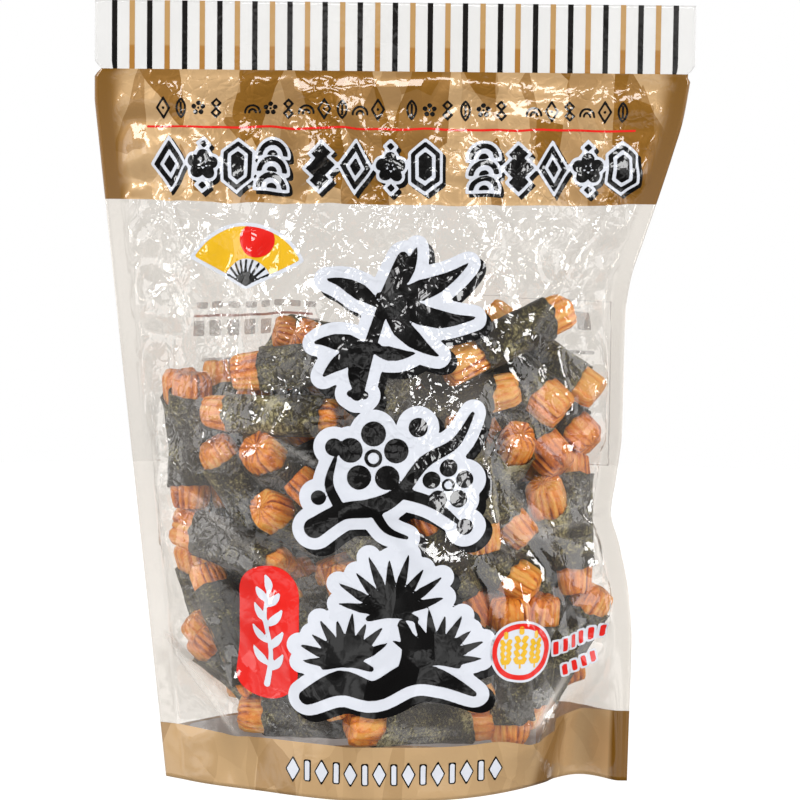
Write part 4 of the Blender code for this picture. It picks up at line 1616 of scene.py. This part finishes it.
def build_rolls(settings):
    """Every cracker and its sleeve, each copy uneven in its own way, joined by kind."""
    master = rod_master(settings)
    co, faces = mesh_arrays(master)
    bpy.data.objects.remove(master)
    faces = [list(f) for f in faces]
    centres, ways = settle_rolls(settings)
    rng = np.random.default_rng(41)
    crackers = {"co": [], "own": [], "toast": [], "faces": []}
    sleeves = {"co": [], "own": [], "tone": [], "faces": []}
    for number, (centre, way) in enumerate(zip(centres, ways)):
        helper = np.array([0.0, 0.0, 1.0]) if abs(way[2]) < 0.8 else np.array([1.0, 0.0, 0.0])
        side = np.cross(way, helper)
        side /= np.linalg.norm(side)
        spin = rng.uniform(0, 6.28)
        other = np.cross(way, side)
        axes = np.stack([side * math.cos(spin) + other * math.sin(spin),
                         other * math.cos(spin) - side * math.sin(spin), way])
        shift = (0, 0, 0.06 * number)
        form = RollForm(rng, settings)
        local, toast = shape_cracker(co, form, rng, settings)
        offset = number * len(co)
        crackers["co"].append(local @ axes + centre)
        crackers["own"].append(local + shift)
        crackers["toast"].append(toast)
        crackers["faces"] += [[v + offset for v in f] for f in faces]
        layers = nori_sleeve(form, rng, settings)
        flat = layers.reshape(-1, 3)
        offset = number * len(flat)
        sleeves["co"].append(flat @ axes + centre)
        sleeves["own"].append(flat + shift)
        sleeves["tone"].append(np.full(len(flat), rng.uniform(-0.05, 0.12)))
        sleeves["faces"] += shell_faces(*layers.shape[1:3], offset).tolist()
    pieces = []
    for name, parts in zip(ROLL_PIECES, (crackers, sleeves)):
        piece = mesh_piece(name, np.concatenate(parts["co"]), parts["faces"])
        own = piece.data.attributes.new("own_place", "FLOAT_VECTOR", "POINT")
        own.data.foreach_set("vector", np.concatenate(parts["own"]).reshape(-1))
        for layer in {"toast", "tone"} & set(parts):
            paint_values(piece, layer, np.concatenate(parts[layer]))
        edit(piece, lambda: bpy.ops.mesh.normals_make_consistent(inside=False))
        pieces.append(piece)
    return pieces


# =============================== stage ===============================

# name, place, width and height, and brightness of each lit face
SOFTBOXES = (
    ("key_softbox", (-0.85, -0.95, 0.62), (0.36, 0.50), 12.2),
    ("fill_softbox", (0.95, -0.85, 0.50), (0.32, 0.50), 10.8),
    ("top_softbox", (0.10, -0.85, 1.05), (0.50, 0.22), 12.0),
    ("left_panel", (-1.2, -0.25, 0.35), (0.7, 0.9), 1.8),
    ("right_panel", (1.25, -0.15, 0.35), (0.7, 0.9), 1.8),
    ("back_left_softbox", (-0.8, 1.0, 0.7), (0.36, 0.50), 8.4),
    ("back_right_softbox", (0.85, 0.95, 0.6), (0.36, 0.50), 8.4),
)


LOOK_RIGHT, LOOK_DOWN = 2.6 * MM, 1.6 * MM   # where the camera looks, from the pouch's middle
SENSOR_WIDTH = 36


def studio_world(settings):
    """White backdrop to the camera, even light from the walls, and, to mirror-like surfaces only,
    a bright, cluttered table under dark walls."""
    world = bpy.data.worlds.new("studio")
    world.use_nodes = True
    tree = world.node_tree
    tree.nodes.clear()
    seen = add_node(tree, "LightPath").outputs["Is Camera Ray"]
    mirrored = add_node(tree, "LightPath").outputs["Is Glossy Ray"]
    way = add_node(tree, "TexCoord").outputs["Generated"]
    level = add_node(tree, "SeparateXYZ", Vector=way).outputs["Z"]
    far = add_node(tree, "MapRange", Value=level, From_Min=-0.06, From_Max=0.0, To_Min=1.0,
                   To_Max=0.0)
    near = add_node(tree, "MapRange", Value=level, From_Min=-0.40, From_Max=-0.32)
    clutter = add_node(tree, "TexNoise", Vector=way, Scale=6.0, Detail=1.0).outputs["Fac"]
    clutter = add_node(tree, "MapRange", Value=clutter, From_Min=0.42, From_Max=0.55, To_Min=0.15,
                       To_Max=1.0)
    table = add_node(tree, "Math", operation="MULTIPLY", in_0=far, in_1=near)
    table = add_node(tree, "Math", operation="MULTIPLY", in_0=table, in_1=clutter)
    gleam = add_node(tree, "MapRange", Value=table, To_Min=settings.wall_gleam,
                     To_Max=settings.table_gleam)
    walls = add_node(tree, "Mix", data_type="FLOAT", Factor=mirrored, in_2=settings.ambient,
                     in_3=gleam)
    strength = add_node(tree, "Mix", data_type="FLOAT", Factor=seen, in_2=walls, in_3=1.0)
    light = add_node(tree, "Background", Color=(1, 1, 1, 1), Strength=strength)
    add_node(tree, "OutputWorld", Surface=light)
    return world


def aim(thing, target):
    """Turns a lamp or camera to look at a target."""
    thing.rotation_euler = (Vector(target) - thing.location).to_track_quat("-Z", "Y").to_euler()


def add_softbox(name, place, target, size, watts):
    """A square soft light."""
    lamp = bpy.data.lights.new(name, "AREA")
    lamp.shape = "RECTANGLE"
    lamp.size, lamp.size_y = size
    lamp.energy = watts
    holder = bpy.data.objects.new(name, lamp)
    holder.location = place
    aim(holder, target)
    bpy.context.scene.collection.objects.link(holder)


# =============================== settings ===============================

def hue(name, of_what, default):
    """A setting for a colour, as an sRGB hex code."""
    return bpy.props.StringProperty(name=name, description=f"Colour of {of_what}, sRGB hex",
                                    default=default)


def amount(name, description, default, kind=None, **limits):
    """A setting for a number: a share, a length or an angle where kind says so."""
    if kind == "FACTOR":
        limits = {"min": 0.0, "subtype": kind, **limits}
    elif kind:
        limits = {"unit": {"DISTANCE": "LENGTH", "ANGLE": "ROTATION"}[kind], "subtype": kind, **limits}
    return bpy.props.FloatProperty(name=name, description=description, default=default, **limits)


class PouchSettings(bpy.types.PropertyGroup):
    """Film and print."""

    slack: amount("Slack", "Extra width of the film over its smooth form", 0.040, "FACTOR", max=0.12)
    pucker: amount("Side pucker", "Extra height of the film along the side seals", 0.035, "FACTOR",
                   max=0.12)
    crease_count: bpy.props.IntProperty(
        name="Creases", description="Short sharp creases tried on each panel",
        default=520, min=0, max=2000)
    haze: amount("Haze", "Share of milky scatter in the clear film", 0.03, "FACTOR", max=1.0)
    film_tint: hue("Film tint", "the light that the clear film lets through", "#f4f1ed")
    gold: hue("Gold ink", "the printed bands", "#8f6220")
    white: hue("White ink", "the header", "#dad9d7")


class RollSettings(bpy.types.PropertyGroup):
    """The rolled crackers."""

    roll_radius: amount("Radius", "Radius of a cracker", 6.4 * MM, "DISTANCE")
    roll_length: amount("Length", "Length of a cracker", 43 * MM, "DISTANCE")
    nori_length: amount("Sleeve", "Length of the seaweed sleeve", 27.5 * MM, "DISTANCE")
    cracker_light: hue("Pale crust", "the palest crust", "#ffbe5e")
    cracker_mid: hue("Crust", "most of the crust", "#f69222")
    cracker_dark: hue("Brown crust", "the browned crust", "#b45006")
    nori_dark: hue("Dark nori", "the thick parts of a sheet", "#1b150a")
    nori_mid: hue("Nori", "most of a sheet", "#2c2413")
    nori_fleck: hue("Nori flecks", "the thin flecks", "#777044")


class StageSettings(bpy.types.PropertyGroup):
    """Camera, floor and the light from the studio's walls."""

    distance: amount("Distance", "Camera to the pouch's middle", 1.1, "DISTANCE")
    rise: amount("Rise", "Height of the camera's look, as an angle", math.radians(6), "ANGLE")
    roll: amount("Roll", "Slight turn of the picture", math.radians(0.6), "ANGLE")
    picture_width: amount("View width", "Width of the view at the pouch", 0.24224, "DISTANCE")
    floor_radius: amount("Floor", "Radius of the floor", 0.8, "DISTANCE")
    floor_glow: amount("Floor glow", "Light that the floor gives of itself", 0.88, min=0.0)
    ambient: amount("Ambient", "Light from the studio's walls", 0.40, min=0.0)
    table_gleam: amount("Table gleam", "Brightness of the table in mirror-like surfaces", 1.05, min=0.0)
    wall_gleam: amount("Wall gleam", "Brightness of the walls in mirror-like surfaces", 0.06, min=0.0)


# =============================== operators ===============================

ROLL_PIECES = ("rice_crackers", "nori_sleeves")


class POUCH_OT_film(bpy.types.Operator):
    """Creased film of the whole pouch, with its printed fields"""

    bl_idname = "pouch.film"
    bl_label = "Film"

    def execute(self, context):
        settings = context.scene.pouch
        film = build_film(settings, [bpy.data.objects[name] for name in ROLL_PIECES])
        gold = ink("gold_ink_in_laminate", settings.gold, 0.30, 0.40, highlight_colour="#cca97c")
        white = ink("white_ink_in_laminate", settings.white)
        finish_piece(film, "film_clear", clear_film(settings), gold, white)
        paint_fields(film)
        # The last layer holds where the gold gets its painted reflection of the table.
        paint_points(film, haze=haze_share, crush=crush_share, free=free_share, flush=flush_share)
        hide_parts(NODE)
        return {"FINISHED"}


class POUCH_OT_print(bpy.types.Operator):
    """Stripes, borders and ornaments on the film"""

    bl_idname = "pouch.print"
    bl_label = "Print"

    def execute(self, context):
        build_print({
            # The stripe inks' second colours are their painted sheen over the header's upper seal.
            "gold": ink("gold_stripe_ink", "#ac7936", 0.2, 0.45, "#b8915c"),
            "stripe": ink("black_stripe_ink", "#070605", 0.0, 0.4, "#0f0c0a"),
            "white": ink("white_motif_ink", "#d3d6de"),
            "black": ink("black_motif_ink", "#060505", 0.0, 0.35),
            "red": ink("red_motif_ink", "#de190e"),
            "yellow": ink("yellow_motif_ink", "#e4b219"),
            "grey": ink("grey_note_ink", "#b9b8be", cover=0.6),
            "rose": ink("rose_rule_ink", "#e2b2b2"),
        })
        return {"FINISHED"}


class POUCH_OT_rolls(bpy.types.Operator):
    """Rice crackers and the seaweed round them"""

    bl_idname = "pouch.rolls"
    bl_label = "Rolled crackers"

    def execute(self, context):
        settings = context.scene.pouch_rolls
        crackers, sleeves = build_rolls(settings)
        finish_piece(crackers, "cracker", baked_cracker(settings))
        finish_piece(sleeves, "seaweed", roasted_nori(settings))
        return {"FINISHED"}


class POUCH_OT_stage(bpy.types.Operator):
    """Floor, lights and camera"""

    bl_idname = "pouch.stage"
    bl_label = "Stage"

    def execute(self, context):
        settings = context.scene.pouch_stage
        scene = context.scene
        deselect_all()
        bpy.ops.mesh.primitive_circle_add(vertices=96, radius=settings.floor_radius, fill_type="NGON")
        floor = context.object
        floor.name = "floor"
        floor.data.materials.append(lit_floor(settings))
        floor.visible_glossy = False
        scene.world = studio_world(settings)
        middle = (0, 0, HEIGHT / 2)
        for name, place, size, radiance in SOFTBOXES:
            add_softbox(name, place, middle, size, radiance * size[0] * size[1] * math.pi)
        lens = bpy.data.cameras.new("camera")
        camera = bpy.data.objects.new("camera", lens)
        target = Vector((LOOK_RIGHT, 0, HEIGHT / 2 - LOOK_DOWN))
        away = Vector((0, -math.cos(settings.rise), math.sin(settings.rise)))
        camera.location = target + away * settings.distance
        aim(camera, target)
        camera.rotation_euler.rotate_axis("Z", settings.roll)
        lens.sensor_width = SENSOR_WIDTH
        lens.lens = SENSOR_WIDTH * settings.distance / settings.picture_width
        scene.collection.objects.link(camera)
        scene.camera = camera
        scene.view_settings.view_transform = "Standard"
        return {"FINISHED"}


class POUCH_PT_panel(bpy.types.Panel):
    """The pouch's pieces and their settings"""

    bl_idname = "POUCH_PT_panel"
    bl_label = "Rice cracker pouch"
    bl_space_type = "VIEW_3D"
    bl_region_type = "UI"
    bl_category = "Pouch"

    def draw(self, context):
        layout = self.layout
        for group in (context.scene.pouch, context.scene.pouch_rolls, context.scene.pouch_stage):
            box = layout.box()
            for key in group.bl_rna.properties.keys():
                if key not in {"rna_type", "name"}:
                    box.prop(group, key)
        for operator in OPERATORS:
            layout.operator(operator.bl_idname)


OPERATORS = (POUCH_OT_rolls, POUCH_OT_film, POUCH_OT_print, POUCH_OT_stage)
GROUPS = {"pouch": PouchSettings, "pouch_rolls": RollSettings, "pouch_stage": StageSettings}


def register():
    for group in GROUPS.values():
        bpy.utils.register_class(group)
    for operator in (*OPERATORS, POUCH_PT_panel):
        bpy.utils.register_class(operator)
    for name, group in GROUPS.items():
        setattr(bpy.types.Scene, name, bpy.props.PointerProperty(type=group))


def unregister():
    for name in GROUPS:
        delattr(bpy.types.Scene, name)
    for operator in (*OPERATORS, POUCH_PT_panel):
        bpy.utils.unregister_class(operator)
    for group in GROUPS.values():
        bpy.utils.unregister_class(group)


def main():
    register()
    bpy.ops.pouch.rolls()
    bpy.ops.pouch.film()
    bpy.ops.pouch.print()
    bpy.ops.pouch.stage()


if __name__ == "__main__":
    main()
